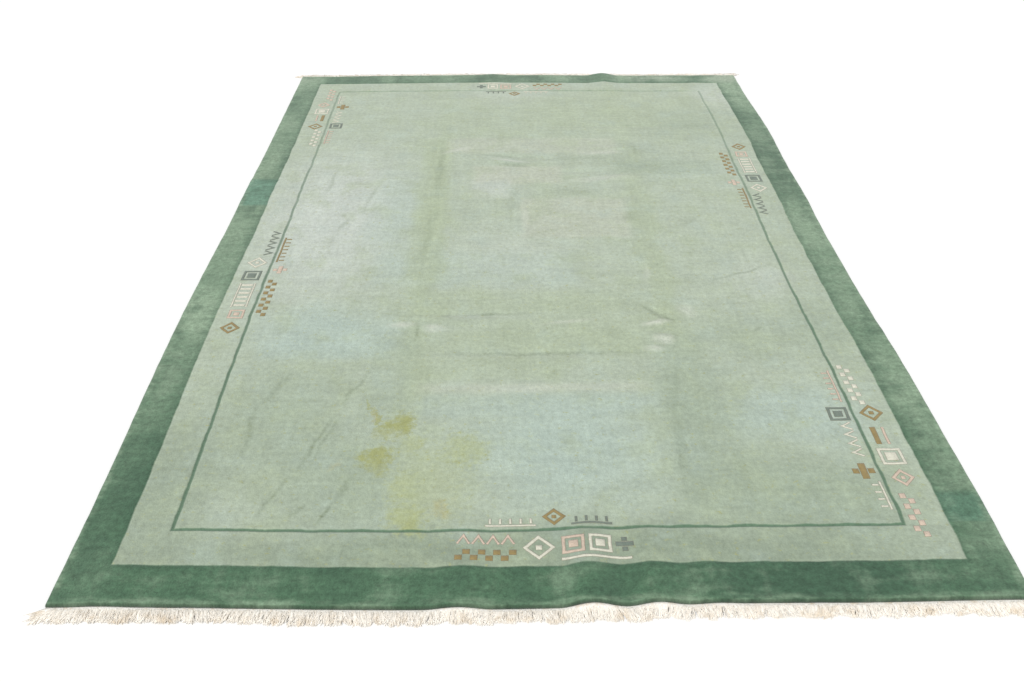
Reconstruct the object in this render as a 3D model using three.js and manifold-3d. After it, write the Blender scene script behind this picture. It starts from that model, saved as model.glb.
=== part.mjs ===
// Nepalese knotted wool rug, lying on the floor: pile and foundation as one flat slab with a soft rim,
// an incised line round its field and low ripples at its ends, and a fringe of warp ends along each end.
// Millimetres, +Z up. X runs across the rug, Y along it from the near end to the far one.
// The origin lies on the floor under the middle of the rug.
import * as THREE from "three";
import { mergeVertices } from "three/addons/utils/BufferGeometryUtils.js";
import Module from "manifold-3d";

const wasm = await Module();
wasm.setup();

// The slab of pile and foundation
const RUG_WIDTH = 2000;
const RUG_LENGTH = 3000;
const RUG_THICKNESS = 12;
const RIM_ROUNDING = 4;

// The line cut into the pile, parallel to the rug's edges
const LINE_INSET = 200;
const LINE_WIDTH = 10;
const LINE_DEPTH = 3;

// The fringe: a woven strip along the end, and locks of warp yarn that grow out of it
const SEAM = 0.3;
const STRIP_DEPTH = 8;
const STRIP_THICKNESS = 3;
const LOCKS_PER_END = 120;
const LOCK_LENGTH = 40;
const LOCK_UNEVENNESS = 0.16;
const LOCK_ROOT_DEPTH = 4;
const CORNER_SPLAY = 22;
const CORNER_REACH = 110;

const COLOURS = { pile: 0xb4c4b0, fringe: 0xefe7d6 };
const WOOL_ROUGHNESS = 0.95;

const HALF_WIDTH = RUG_WIDTH / 2;
const HALF_LENGTH = RUG_LENGTH / 2;
const LINE_ACROSS = HALF_WIDTH - LINE_INSET;
const LINE_ALONG = HALF_LENGTH - LINE_INSET;
const ENDS = { near: -1, far: 1 };

// Where an edge bows out of its straight line: middle and half length along the edge, distance out
const BOWS = [
  { edge: "left", at: -480, half: 900, out: 13 },
  { edge: "left", at: 320, half: 320, out: 5 },
  { edge: "right", at: 850, half: 500, out: 13 },
  { edge: "right", at: 320, half: 350, out: 8 },
  { edge: "right", at: -620, half: 330, out: 4 },
  { edge: "right", at: -900, half: 450, out: 8 },
  { edge: "right", at: -1240, half: 260, out: 5 },
  { edge: "near", at: -180, half: 820, out: 14 },
  { edge: "near", at: -170, half: 75, out: -3 },
  { edge: "near", at: 104, half: 70, out: -5 },
  { edge: "near", at: 237, half: 62, out: -4 },
  { edge: "near", at: 640, half: 340, out: 4 },
  { edge: "far", at: -180, half: 820, out: 14 },
  { edge: "far", at: 385, half: 90, out: 4 },
];

// Ripples that start at an end and die out inwards: middle and half width, height at the edge, reach
const RIPPLES = [
  { end: "near", at: 104, half: 72, height: 9, reach: 330 },
  { end: "near", at: 237, half: 66, height: 6, reach: 240 },
  { end: "near", at: -170, half: 80, height: 5, reach: 220 },
  { end: "near", at: -890, half: 90, height: 3, reach: 200 },
  { end: "near", at: 360, half: 60, height: 3, reach: 200 },
  { end: "far", at: 385, half: 75, height: 9, reach: 260 },
  { end: "far", at: -120, half: 95, height: 4, reach: 200 },
];

// How the locks of a fringe lean to one side and the other along it, as waves
const LEANS = [
  { amount: 5, wavelength: 410, shift: 0.4 },
  { amount: 3, wavelength: 173, shift: 1.9 },
];

// One lock from root to tip: share of its length, width and height there, share of the edge's lift,
// rise that keeps its root inside the strip, and share of the lean
const LOCK_STATIONS = [
  { along: 0, width: 9, height: 2, lift: 1, rise: 0.5, lean: 0 },
  { along: 0.45, width: 13, height: 4, lift: 0.3, rise: 0, lean: 0.3 },
  { along: 1, width: 7, height: 1.6, lift: 0, rise: 0, lean: 1 },
];

// Grid lines of the slab on one side of its middle, as stretches cut into equal steps
const COLUMN_SPANS = [
  { upTo: 450, steps: 15 },
  { upTo: LINE_ACROSS - LINE_WIDTH / 2, steps: 6 },
  { upTo: LINE_ACROSS, steps: 1 },
  { upTo: LINE_ACROSS + LINE_WIDTH / 2, steps: 1 },
  { upTo: HALF_WIDTH, steps: 3 },
];
const ROW_SPANS = [
  { upTo: 1100, steps: 4 },
  { upTo: LINE_ALONG - LINE_WIDTH / 2, steps: 3 },
  { upTo: LINE_ALONG, steps: 1 },
  { upTo: LINE_ALONG + LINE_WIDTH / 2, steps: 1 },
  { upTo: HALF_LENGTH, steps: 4 },
];

// 1 in the middle of a stretch, falling smoothly to 0 at its ends.
function swell(distance, half) {
  const share = Math.min(1, Math.abs(distance) / half);
  return (1 + Math.cos(Math.PI * share)) / 2;
}

function bowAt(edge, along) {
  return BOWS.filter((bow) => bow.edge === edge).reduce(
    (out, bow) => out + bow.out * swell(along - bow.at, bow.half),
    0,
  );
}

// Height of the rug's underside above the floor.
function liftAt(x, y) {
  return RIPPLES.reduce((lift, ripple) => {
    const inwards = HALF_LENGTH - ENDS[ripple.end] * y;
    return lift + ripple.height * swell(x - ripple.at, ripple.half) * swell(inwards, ripple.reach);
  }, 0);
}

function gridLines(spans) {
  const half = [0];
  for (const { upTo, steps } of spans) {
    const from = half.at(-1);
    for (let step = 1; step <= steps; step += 1) half.push(from + ((upTo - from) * step) / steps);
  }
  const mirrored = half.slice(1).reverse();
  return [...mirrored.map((line) => -line), ...half];
}

const COLUMNS = gridLines(COLUMN_SPANS);
const ROWS = gridLines(ROW_SPANS);

// A closed grid of columns, rows and levels, with each point put where place(column, row, level) says.
function gridGeometry(columns, rows, levels, place) {
  const geometry = new THREE.BoxGeometry(1, 1, 1, columns - 1, rows - 1, levels - 1);
  const position = geometry.getAttribute("position");
  for (let i = 0; i < position.count; i += 1) {
    const column = Math.round((position.getX(i) + 0.5) * (columns - 1));
    const row = Math.round((position.getY(i) + 0.5) * (rows - 1));
    const level = Math.round((position.getZ(i) + 0.5) * (levels - 1));
    position.setXYZ(i, ...place(column, row, level));
  }
  return geometry;
}

function onIncisedLine(x, y) {
  const onSide = Math.abs(x) === LINE_ACROSS && Math.abs(y) <= LINE_ALONG;
  const onEnd = Math.abs(y) === LINE_ALONG && Math.abs(x) <= LINE_ACROSS;
  return onSide || onEnd;
}

// Underside, shoulder and pile surface, whose rim is drawn in by the rounding.
function rugGeometry() {
  const heights = [0, RUG_THICKNESS - RIM_ROUNDING, RUG_THICKNESS];
  const top = heights.length - 1;
  return gridGeometry(COLUMNS.length, ROWS.length, heights.length, (column, row, level) => {
    const drawnIn = level === top ? RIM_ROUNDING : 0;
    const x = THREE.MathUtils.clamp(COLUMNS[column], drawnIn - HALF_WIDTH, HALF_WIDTH - drawnIn);
    const y = THREE.MathUtils.clamp(ROWS[row], drawnIn - HALF_LENGTH, HALF_LENGTH - drawnIn);
    const cut = level === top && onIncisedLine(x, y) ? LINE_DEPTH : 0;
    const sideBow = bowAt(x < 0 ? "left" : "right", y) / HALF_WIDTH;
    const endBow = bowAt(y < 0 ? "near" : "far", x) / HALF_LENGTH;
    return [x * (1 + sideBow), y * (1 + endBow), liftAt(x, y) + heights[level] - cut];
  });
}

function solidOf(geometry) {
  geometry.deleteAttribute("normal");
  geometry.deleteAttribute("uv");
  const merged = mergeVertices(geometry);
  return new wasm.Manifold(
    new wasm.Mesh({
      numProp: 3,
      vertProperties: merged.getAttribute("position").array,
      triVerts: new Uint32Array(merged.index.array),
    }),
  );
}

function geometryOf(solid) {
  const { vertProperties, triVerts } = solid.getMesh();
  const geometry = new THREE.BufferGeometry();
  geometry.setAttribute("position", new THREE.BufferAttribute(vertProperties, 3));
  geometry.setIndex(new THREE.BufferAttribute(triVerts, 1));
  geometry.computeVertexNormals();
  return geometry;
}

// The edge that a fringe grows from, in the fringe's own frame, where it points towards -Y.
function fringeEdge(end) {
  const turn = -ENDS[end];
  return {
    outAt: (x) => HALF_LENGTH + bowAt(end, turn * x),
    liftAt: (x) => liftAt(turn * x, ENDS[end] * HALF_LENGTH),
  };
}

function stripGeometry(edge) {
  return gridGeometry(COLUMNS.length, 2, 2, (column, row, level) => {
    const x = COLUMNS[column];
    const y = -(edge.outAt(x) + SEAM + (1 - row) * STRIP_DEPTH);
    return [x, y, edge.liftAt(x) + level * STRIP_THICKNESS];
  });
}

function leanAt(x) {
  const waves = LEANS.reduce(
    (lean, { amount, wavelength, shift }) =>
      lean + amount * Math.sin((2 * Math.PI * x) / wavelength + shift),
    0,
  );
  const pastReach = Math.max(0, Math.abs(x) - (HALF_WIDTH - CORNER_REACH)) / CORNER_REACH;
  return waves * (1 - pastReach) + Math.sign(x) * CORNER_SPLAY * pastReach;
}

// One lock: a three-sided taper with a flat underside, which comes down to the floor and lies on it.
function lockGeometry(edge, x, length) {
  const sides = 3;
  const triangleWidth = Math.sqrt(3);
  const triangleBase = -0.5;
  const triangleHeight = 1.5;
  const geometry = new THREE.CylinderGeometry(1, 1, 1, sides, LOCK_STATIONS.length - 1);
  const position = geometry.getAttribute("position");
  const rootY = edge.outAt(x) + SEAM + STRIP_DEPTH - LOCK_ROOT_DEPTH;
  for (let i = 0; i < position.count; i += 1) {
    const station = LOCK_STATIONS[Math.round((position.getY(i) + 0.5) * (LOCK_STATIONS.length - 1))];
    const sideways = (-position.getX(i) / triangleWidth) * station.width + station.lean * leanAt(x);
    const upwards = ((position.getZ(i) - triangleBase) / triangleHeight) * station.height;
    const underside = station.lift * edge.liftAt(x) + station.rise;
    position.setXYZ(i, x + sideways, -(rootY + station.along * length), underside + upwards);
  }
  return geometry;
}

function fringeGeometry(end) {
  const edge = fringeEdge(end);
  const pitch = RUG_WIDTH / LOCKS_PER_END;
  let fringe = solidOf(stripGeometry(edge));
  THREE.MathUtils.seededRandom(LOCKS_PER_END);
  for (let lock = 0; lock < LOCKS_PER_END; lock += 1) {
    const shortening = LOCK_UNEVENNESS * THREE.MathUtils.seededRandom();
    const x = -HALF_WIDTH + (lock + 0.5) * pitch;
    fringe = fringe.add(solidOf(lockGeometry(edge, x, LOCK_LENGTH * (1 - shortening))));
  }
  return geometryOf(fringe);
}

function woolMaterial(colour) {
  return new THREE.MeshStandardMaterial({ color: colour, roughness: WOOL_ROUGHNESS, metalness: 0 });
}

const rug = new THREE.Group();

const slab = new THREE.Mesh(rugGeometry(), woolMaterial(COLOURS.pile));
slab.name = "pile_rug";
rug.add(slab);

for (const end of Object.keys(ENDS)) {
  const fringe = new THREE.Mesh(fringeGeometry(end), woolMaterial(COLOURS.fringe));
  fringe.name = `fringe_${end}`;
  fringe.rotation.z = end === "far" ? Math.PI : 0;
  rug.add(fringe);
}

export default rug;
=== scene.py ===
"""Nepalese rug: knotted wool pile with a dark border, a carved line, inlaid ornaments and fringed ends.

Metres, +Z up. X runs across the rug, Y along it from the near fringe to the far one.
"""

import math
from collections import namedtuple

import bmesh
import bpy
import numpy as np
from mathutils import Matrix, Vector, noise


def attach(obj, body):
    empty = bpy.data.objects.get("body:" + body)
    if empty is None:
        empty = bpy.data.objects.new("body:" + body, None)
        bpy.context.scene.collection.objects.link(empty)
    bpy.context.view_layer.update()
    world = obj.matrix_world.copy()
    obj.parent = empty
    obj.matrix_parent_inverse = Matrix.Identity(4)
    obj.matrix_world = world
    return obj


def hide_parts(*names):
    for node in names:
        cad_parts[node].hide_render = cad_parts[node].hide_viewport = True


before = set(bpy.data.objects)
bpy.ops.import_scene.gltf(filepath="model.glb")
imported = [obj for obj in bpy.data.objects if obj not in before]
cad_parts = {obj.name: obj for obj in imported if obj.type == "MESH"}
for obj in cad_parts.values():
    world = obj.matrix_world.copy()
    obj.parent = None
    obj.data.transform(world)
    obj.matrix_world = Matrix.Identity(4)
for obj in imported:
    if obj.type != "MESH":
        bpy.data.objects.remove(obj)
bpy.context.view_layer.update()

bl_info = {
    "name": "Nepalese Rug",
    "version": (1, 0, 0),
    "blender": (4, 5, 0),
    "location": "3D View > Sidebar > Rug",
    "description": "Makes a fringed, knotted wool rug that lies on the floor",
    "category": "Add Mesh",
}

BODY = "root"
MM = 0.001
ENDS = {"near": -1, "far": 1}
FLOOR_DROP = 0.2 * MM

# Where an edge bows out of its straight line: middle and half length along the edge, distance out
Bow = namedtuple("Bow", "edge at half out")
BOWS = (
    Bow("left", -0.48, 0.9, 0.013),
    Bow("left", 0.32, 0.32, 0.005),
    Bow("right", 0.85, 0.5, 0.013),
    Bow("right", 0.32, 0.35, 0.008),
    Bow("right", -0.62, 0.33, 0.004),
    Bow("right", -0.9, 0.45, 0.008),
    Bow("right", -1.24, 0.26, 0.005),
    Bow("near", -0.18, 0.82, 0.014),
    Bow("near", -0.17, 0.075, -0.003),
    Bow("near", 0.104, 0.07, -0.005),
    Bow("near", 0.237, 0.062, -0.004),
    Bow("near", 0.64, 0.34, 0.004),
    Bow("far", -0.18, 0.82, 0.014),
    Bow("far", 0.385, 0.09, 0.004),
)

# Ripples that start at an end and die out inwards: middle and half width, height at the edge, reach
Ripple = namedtuple("Ripple", "end at half height reach")
RIPPLES = (
    Ripple("near", 0.104, 0.072, 0.009, 0.33),
    Ripple("near", 0.237, 0.066, 0.006, 0.24),
    Ripple("near", -0.17, 0.08, 0.005, 0.22),
    Ripple("near", -0.89, 0.09, 0.003, 0.2),
    Ripple("near", 0.36, 0.06, 0.003, 0.2),
    Ripple("far", 0.385, 0.075, 0.009, 0.26),
    Ripple("far", -0.12, 0.095, 0.004, 0.2),
)

# Creases in the pile from folding: middle, half length and half width, turn in degrees, height
Crease = namedtuple("Crease", "x y half_along half_across turn height")
CREASES = (
    Crease(-0.26, 0.65, 0.09, 0.026, 40, 0.0055),
    Crease(-0.33, 0.68, 0.08, 0.022, 85, -0.0035),
    Crease(-0.05, 0.555, 0.15, 0.024, -15, 0.006),
    Crease(-0.03, 0.61, 0.19, 0.022, -10, -0.004),
    Crease(0.38, 0.69, 0.09, 0.024, 5, 0.0035),
    Crease(0.19, 0.475, 0.18, 0.024, 0, -0.003),
    Crease(0.33, 0.42, 0.13, 0.024, 25, 0.004),
    Crease(0.365, -0.52, 0.07, 0.022, 20, 0.006),
    Crease(0.39, -0.48, 0.075, 0.02, -55, -0.005),
    Crease(0.37, -0.59, 0.065, 0.024, -10, 0.005),
    Crease(0.345, -0.645, 0.05, 0.02, 0, 0.0035),
    Crease(-0.18, -0.465, 0.19, 0.018, 0, -0.0045),
    Crease(-0.15, -0.5, 0.26, 0.026, 0, 0.0025),
    Crease(-0.325, -0.53, 0.11, 0.022, 0, 0.0035),
    Crease(-0.325, 0.1, 0.8, 0.02, 90, -0.002),
    Crease(0.415, 0.05, 0.75, 0.022, 90, -0.002),
    Crease(0.015, -0.66, 0.48, 0.02, 0, -0.0025),
    Crease(0.37, 0.9, 0.6, 0.022, 0, -0.002),
)

# Patches where the wool's tone departs from its ground: tone, middle, half size, hardness of the outline
# from 0 to 1, strength
Patch = namedtuple("Patch", "tone x y half_x half_y hardness strength")
FIELD_PATCHES = (
    Patch("pale", -0.66, 0.12, 0.42, 0.82, 0.1, 0.9),
    Patch("pale", -0.1, 0.38, 0.15, 0.2, 0.1, 0.35),
    Patch("pale", -0.06, 1.22, 0.26, 0.16, 0.0, 0.35),
    Patch("pale", -0.05, -0.15, 0.38, 0.34, 0.0, 0.35),
    Patch("pale", 0.73, -0.28, 0.2, 0.2, 0.0, 0.4),
    Patch("pale", 0.86, 1.23, 0.13, 0.19, 0.0, 0.55),
    Patch("mist", -0.56, -0.54, 0.36, 0.17, 0.1, 0.75),
    Patch("mist", 0.08, -1.04, 0.36, 0.32, 0.15, 0.75),
    Patch("mist", 0.64, -0.93, 0.32, 0.17, 0.15, 0.7),
    Patch("mist", -0.44, 0.15, 0.16, 0.5, 0.0, 0.45),
    Patch("mist", 0.6, 0.48, 0.26, 0.16, 0.0, 0.35),
    Patch("moss", -0.315, 0.05, 0.085, 1.6, 0.2, 0.72),
    Patch("moss", 0.405, 0.0, 0.07, 1.4, 0.2, 0.62),
    Patch("moss", 0.45, 1.05, 0.52, 0.4, 0.1, 0.55),
    Patch("moss", 0.15, -0.56, 0.5, 0.2, 0.1, 0.45),
    Patch("shade", -0.64, -0.95, 0.33, 0.43, 0.1, 0.75),
    Patch("shade", -0.47, -1.16, 0.22, 0.26, 0.1, 0.65),
    Patch("shade", 0.36, -1.0, 0.11, 0.46, 0.1, 0.7),
    Patch("shade", 0.6, -1.22, 0.46, 0.22, 0.2, 0.95),
    Patch("shade", 0.62, -0.58, 0.33, 0.2, 0.1, 0.5),
    Patch("shade", 0.85, -0.56, 0.17, 0.26, 0.1, 0.7),
    Patch("shade", 0.7, 0.9, 0.36, 0.28, 0.1, 0.55),
    Patch("shade", 0.42, 0.6, 0.3, 0.2, 0.1, 0.4),
    Patch("shade", 0.88, -0.05, 0.12, 1.5, 0.1, 0.28),
    Patch("dusk", -0.86, -1.18, 0.18, 0.42, 0.1, 0.75),
    Patch("dusk", 0.0, -1.385, 1.4, 0.15, 0.3, 1.0),
)
# Panels between old folds, whose nap lies another way; their tones are partly the wool's own and partly
# painted
# sheen and shade of that nap: tone, middle, half size, softness of the edge, strength
Panel = namedtuple("Panel", "tone x y half_x half_y softness strength")
PANELS = (
    Panel("warm", 0.03, 0.71, 0.33, 0.07, 0.015, 0.4),
    Panel("warm", -0.02, 0.45, 0.16, 0.07, 0.015, 0.55),
    Panel("pale", -0.12, 0.33, 0.06, 0.06, 0.03, 0.4),
    Panel("warm", 0.17, 0.12, 0.18, 0.14, 0.02, 0.45),
    Panel("mist", -0.16, -0.21, 0.32, 0.1, 0.03, 0.3),
    Panel("moss", 0.05, -0.4, 0.38, 0.06, 0.02, 0.4),
    Panel("moss", 0.0, -0.6, 0.32, 0.05, 0.015, 0.4),
    Panel("moss", -0.11, -0.72, 0.2, 0.05, 0.02, 0.35),
    Panel("warm", 0.0, -0.81, 0.3, 0.02, 0.015, 0.3),
    Panel("mist", 0.01, -0.88, 0.31, 0.04, 0.02, 0.4),
    Panel("shade", 0.52, 0.51, 0.19, 0.06, 0.02, 0.45),
    Panel("moss", -0.33, 0.25, 0.05, 0.53, 0.02, 0.5),
    Panel("shade", 0.41, -1.05, 0.08, 0.17, 0.025, 0.45),
    Panel("shade", 0.41, -0.76, 0.07, 0.19, 0.03, 0.5),
    Panel("shade", 0.47, -0.95, 0.08, 0.23, 0.045, 0.4),
    Panel("shade", -0.37, -0.76, 0.06, 0.18, 0.025, 0.4),
    Panel("mist", -0.56, -0.64, 0.18, 0.04, 0.02, 0.45),
    Panel("shade", -0.4, -1.16, 0.06, 0.12, 0.03, 0.5),
    Panel("moss", -0.04, 1.0, 0.28, 0.22, 0.03, 0.3),
)
# In the border, sheen patches are painted sheen, which lightens it towards the far end and along the sides,
# as do the pale shade patches at the far end; shade_and_dark_dye patches are painted shade of the nap, and
# darker dye at the teal bands, which are dye
BORDER_PATCHES = (
    Patch("sheen", -0.96, 0.25, 0.17, 1.75, 0.4, 0.46),
    Patch("sheen", 0.96, 0.15, 0.17, 1.75, 0.4, 0.42),
    Patch("sheen", 0.0, 1.45, 1.3, 0.1, 0.3, 0.42),
    Patch("sheen", 0.97, 1.36, 0.13, 0.38, 0.2, 0.9),
    Patch("sheen", -0.96, 1.4, 0.12, 0.2, 0.1, 0.7),
    Patch("sheen", -0.96, 0.93, 0.1, 0.14, 0.1, 0.35),
    Patch("sheen", -0.96, 0.56, 0.1, 0.2, 0.1, 0.45),
    Patch("sheen", -0.96, 0.0, 0.12, 0.36, 0.2, 0.35),
    Patch("sheen", -0.96, -0.44, 0.12, 0.2, 0.2, 0.92),
    Patch("sheen", 0.95, 0.05, 0.12, 0.22, 0.2, 0.55),
    Patch("sheen", 0.96, -0.42, 0.11, 0.16, 0.1, 0.25),
    Patch("sheen", 0.96, -0.85, 0.11, 0.32, 0.1, 0.62),
    Patch("sheen", 0.2, 1.45, 0.08, 0.07, 0.1, 0.5),
    Patch("sheen", 0.56, 1.45, 0.24, 0.07, 0.1, 0.7),
    Patch("shade", 0.63, 1.45, 0.2, 0.08, 0.1, 0.68),
    Patch("sheen", 0.92, 1.45, 0.12, 0.09, 0.2, 0.7),
    Patch("sheen", -0.6, 1.45, 0.1, 0.06, 0.1, 0.4),
    Patch("shade", 0.955, 1.47, 0.16, 0.11, 0.2, 0.85),
    Patch("shade", -0.985, 1.47, 0.08, 0.1, 0.1, 0.5),
    Patch("shade_and_dark_dye", -0.1, 1.455, 0.28, 0.06, 0.1, 0.45),
    Patch("shade_and_dark_dye", -0.74, 1.455, 0.18, 0.06, 0.1, 0.35),
    Patch("shade_and_dark_dye", 0.35, 1.455, 0.12, 0.06, 0.1, 0.4),
    Patch("shade_and_dark_dye", -0.96, 1.1, 0.11, 0.12, 0.2, 0.28),
    Patch("shade_and_dark_dye", -0.96, -0.72, 0.11, 0.13, 0.2, 0.25),
    Patch("shade_and_dark_dye", 0.96, 0.56, 0.14, 0.42, 0.4, 0.66),
    Patch("teal", -0.95, 0.32, 0.6, 0.11, 0.85, 0.8),
    Patch("shade_and_dark_dye", -0.95, -1.21, 0.16, 0.2, 0.1, 0.3),
    Patch("shade_and_dark_dye", 0.58, -1.45, 0.4, 0.11, 0.3, 0.95),
    Patch("shade_and_dark_dye", 0.92, -0.96, 0.05, 0.1, 0.1, 0.4),
    Patch("sheen", 0.97, -1.06, 0.1, 0.16, 0.1, 0.35),
    Patch("sheen", 0.96, -1.16, 0.14, 0.07, 0.1, 0.45),
    Patch("sheen", 0.96, -1.345, 0.14, 0.07, 0.3, 0.4),
    Patch("sheen", 0.96, -1.44, 0.13, 0.09, 0.2, 0.12),
    Patch("sheen", -0.96, -1.4, 0.12, 0.13, 0.1, 0.14),
    Patch("shade_and_dark_dye", 0.95, -1.25, 0.6, 0.048, 0.85, 0.45),
    Patch("teal", 0.95, -1.25, 0.6, 0.048, 0.85, 0.4),
)

# Marks with ragged outlines on the field, under their tones: middle, half size, strength, turn in degrees.
# Stains first, then dark streaks and painted shade in the troughs of creases, then painted highlights,
# partly wear, on their crests
Mark = namedtuple("Mark", "x y half_x half_y strength turn", defaults=(0,))
STAINS = {
    "stain_pale": (
        Mark(-0.24, -1.16, 0.18, 0.26, 0.4),
        Mark(-0.16, -1.04, 0.08, 0.11, 0.6),
        Mark(-0.2, -1.04, 0.08, 0.09, 0.35),
        Mark(-0.3, -1.02, 0.06, 0.06, 0.6),
        Mark(-0.31, -1.17, 0.06, 0.09, 0.5),
        Mark(-0.29, -1.27, 0.08, 0.08, 0.85),
    ),
    "stain": (
        Mark(-0.33, -0.94, 0.07, 0.06, 0.9),
        Mark(-0.35, -0.97, 0.07, 0.06, 0.6),
        Mark(-0.38, -1.06, 0.08, 0.05, 0.9),
        Mark(-0.38, -1.1, 0.06, 0.05, 0.6),
        Mark(-0.28, -1.28, 0.03, 0.03, 0.4),
        Mark(-0.41, -0.88, 0.06, 0.014, 0.6, -70),
        Mark(-0.39, -0.93, 0.06, 0.016, 0.8, -80),
    ),
    "rust": (
        Mark(-0.22, -1.23, 0.04, 0.05, 0.4),
        Mark(-0.4, -0.92, 0.02, 0.05, 0.3),
        Mark(-0.48, -1.1, 0.02, 0.025, 0.25),
    ),
}
CREASE_MARKS = {
    "crease_shade_and_streaks": (
        Mark(-0.31, 0.51, 0.3, 0.025, 0.35, 90),
        Mark(-0.32, 0.02, 0.32, 0.025, 0.2, 85),
        Mark(-0.32, -0.55, 0.07, 0.01, 0.35, 90),
        Mark(-0.07, 0.61, 0.14, 0.02, 0.35, -15),
        Mark(0.18, 0.59, 0.21, 0.02, 0.25, 5),
        Mark(-0.03, 0.53, 0.09, 0.02, 0.45, -10),
        Mark(0.44, 0.67, 0.07, 0.02, 0.3, 95),
        Mark(0.45, 0.52, 0.15, 0.06, 0.2),
        Mark(0.16, 0.31, 0.2, 0.045, 0.2),
        Mark(-0.04, 0.25, 0.19, 0.02, 0.2, 85),
        Mark(0.36, 0.13, 0.06, 0.04, 0.25, 50),
        Mark(0.55, 0.08, 0.09, 0.02, 0.25, 40),
        Mark(0.25, -0.25, 0.06, 0.025, 0.25, 20),
        Mark(0.41, -0.19, 0.05, 0.025, 0.2, 50),
        Mark(-0.09, -0.467, 0.22, 0.01, 0.25),
        Mark(-0.12, -0.467, 0.05, 0.01, 0.55),
        Mark(-0.23, -0.467, 0.045, 0.007, 0.35),
        Mark(0.36, -0.46, 0.1, 0.02, 0.45, -45),
        Mark(0.4, -0.49, 0.04, 0.012, 0.55, -50),
        Mark(0.41, -0.59, 0.03, 0.01, 0.3, 90),
        Mark(0.0, -0.66, 0.47, 0.013, 0.35),
        Mark(0.23, -0.66, 0.17, 0.006, 0.3),
        Mark(0.06, -0.75, 0.05, 0.01, 0.2, 55),
        Mark(0.37, -0.82, 0.16, 0.015, 0.25, 80),
        Mark(-0.4, -0.46, 0.05, 0.02, 0.2, 5),
        Mark(-0.7, -0.97, 0.14, 0.015, 0.4, 90),
        Mark(-0.66, -0.81, 0.11, 0.018, 0.3, 70),
        Mark(-0.46, -0.81, 0.12, 0.01, 0.4, 70),
        Mark(-0.53, -1.01, 0.15, 0.009, 0.45, 75),
        Mark(-0.51, -1.0, 0.15, 0.008, 0.35, 75),
        Mark(-0.6, -1.2, 0.12, 0.01, 0.4, 65),
        Mark(-0.44, -1.17, 0.07, 0.013, 0.4, 65),
        Mark(-0.48, -1.25, 0.05, 0.008, 0.7, 70),
        Mark(-0.54, -1.24, 0.035, 0.01, 0.35, 60),
        Mark(-0.86, -0.99, 0.02, 0.017, 0.2, 45),
        Mark(-0.4, -0.85, 0.06, 0.03, 0.15),
        Mark(-0.7, 0.4, 0.14, 0.013, 0.35, 85),
        Mark(-0.61, 0.08, 0.08, 0.015, 0.35, 70),
        Mark(-0.54, 0.29, 0.17, 0.011, 0.25, 80),
        Mark(-0.53, -0.45, 0.14, 0.017, 0.15),
        Mark(0.66, -0.25, 0.17, 0.01, 0.4, 25),
        Mark(0.65, -0.55, 0.07, 0.01, 0.3, 30),
        Mark(0.68, 0.9, 0.14, 0.03, 0.2, 5),
        Mark(0.55, 0.1, 0.045, 0.035, 0.15, 35),
        Mark(0.35, -1.04, 0.2, 0.02, 0.25, 85),
        Mark(0.48, -1.11, 0.12, 0.02, 0.2, 90),
    ),
    "wear_and_highlight": (
        Mark(-0.24, 0.67, 0.1, 0.025, 0.4, 25),
        Mark(-0.05, 0.57, 0.1, 0.02, 0.6, -15),
        Mark(0.29, 0.64, 0.15, 0.025, 0.4, 5),
        Mark(0.29, 0.42, 0.18, 0.04, 0.35, 10),
        Mark(-0.36, -0.52, 0.05, 0.028, 0.5),
        Mark(-0.27, -0.54, 0.05, 0.027, 0.45),
        Mark(0.11, -0.51, 0.11, 0.015, 0.35, 10),
        Mark(0.36, -0.52, 0.06, 0.022, 0.7, 20),
        Mark(0.375, -0.6, 0.05, 0.034, 0.6, 5),
        Mark(0.34, -0.645, 0.04, 0.023, 0.45),
        Mark(0.46, -0.46, 0.035, 0.05, 0.35, 10),
        Mark(0.0, -0.81, 0.37, 0.023, 0.25),
        Mark(0.37, -0.25, 0.08, 0.017, 0.25, 85),
        Mark(0.0, 0.14, 0.15, 0.018, 0.25, 90),
    ),
}

# Ornaments of the three clusters that are inlaid along the line, each in a frame of its own: from the
# cluster's middle along the line, and from the line inwards, in millimetres
Ornament = namedtuple("Ornament", "kind yarn along inward wide high")
END_CLUSTER = (
    Ornament("comb", "ivory", -74, 22, 112, 24),
    Ornament("lozenge", "ochre", 22, 38, 54, 52),
    Ornament("comb", "grey", 104, 22, 90, 24),
    Ornament("chevrons", "pink", -128, -28, 128, 24),
    Ornament("checks", "ochre", -128, -70, 132, 32),
    Ornament("lozenge", "ivory", -14, -50, 72, 70),
    Ornament("squares", "pink", 60, -46, 50, 50),
    Ornament("squares", "ivory", 118, -46, 50, 50),
    Ornament("cross", "grey", 170, -46, 40, 40),
    Ornament("bar", "ivory", 108, -84, 150, 8),
)
CORNER_CLUSTER = (
    Ornament("checks", "ivory", 232, -28, 166, 32),
    Ornament("comb", "pink", 226, 24, 132, 24),
    Ornament("lozenge", "ochre", 116, -46, 64, 62),
    Ornament("squares", "grey", 114, 38, 52, 52),
    Ornament("chevrons", "ivory", 20, 30, 128, 24),
    Ornament("bar", "ochre", 30, -30, 62, 14),
    Ornament("bar", "pink", 30, -54, 62, 8),
    Ornament("squares", "ivory", -44, -44, 58, 58),
    Ornament("cross", "ochre", -92, 38, 52, 52),
    Ornament("lozenge", "pink", -116, -46, 58, 56),
    Ornament("comb", "ivory", -172, 22, 90, 24),
    Ornament("checks", "pink", -232, -32, 132, 32),
)
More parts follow.
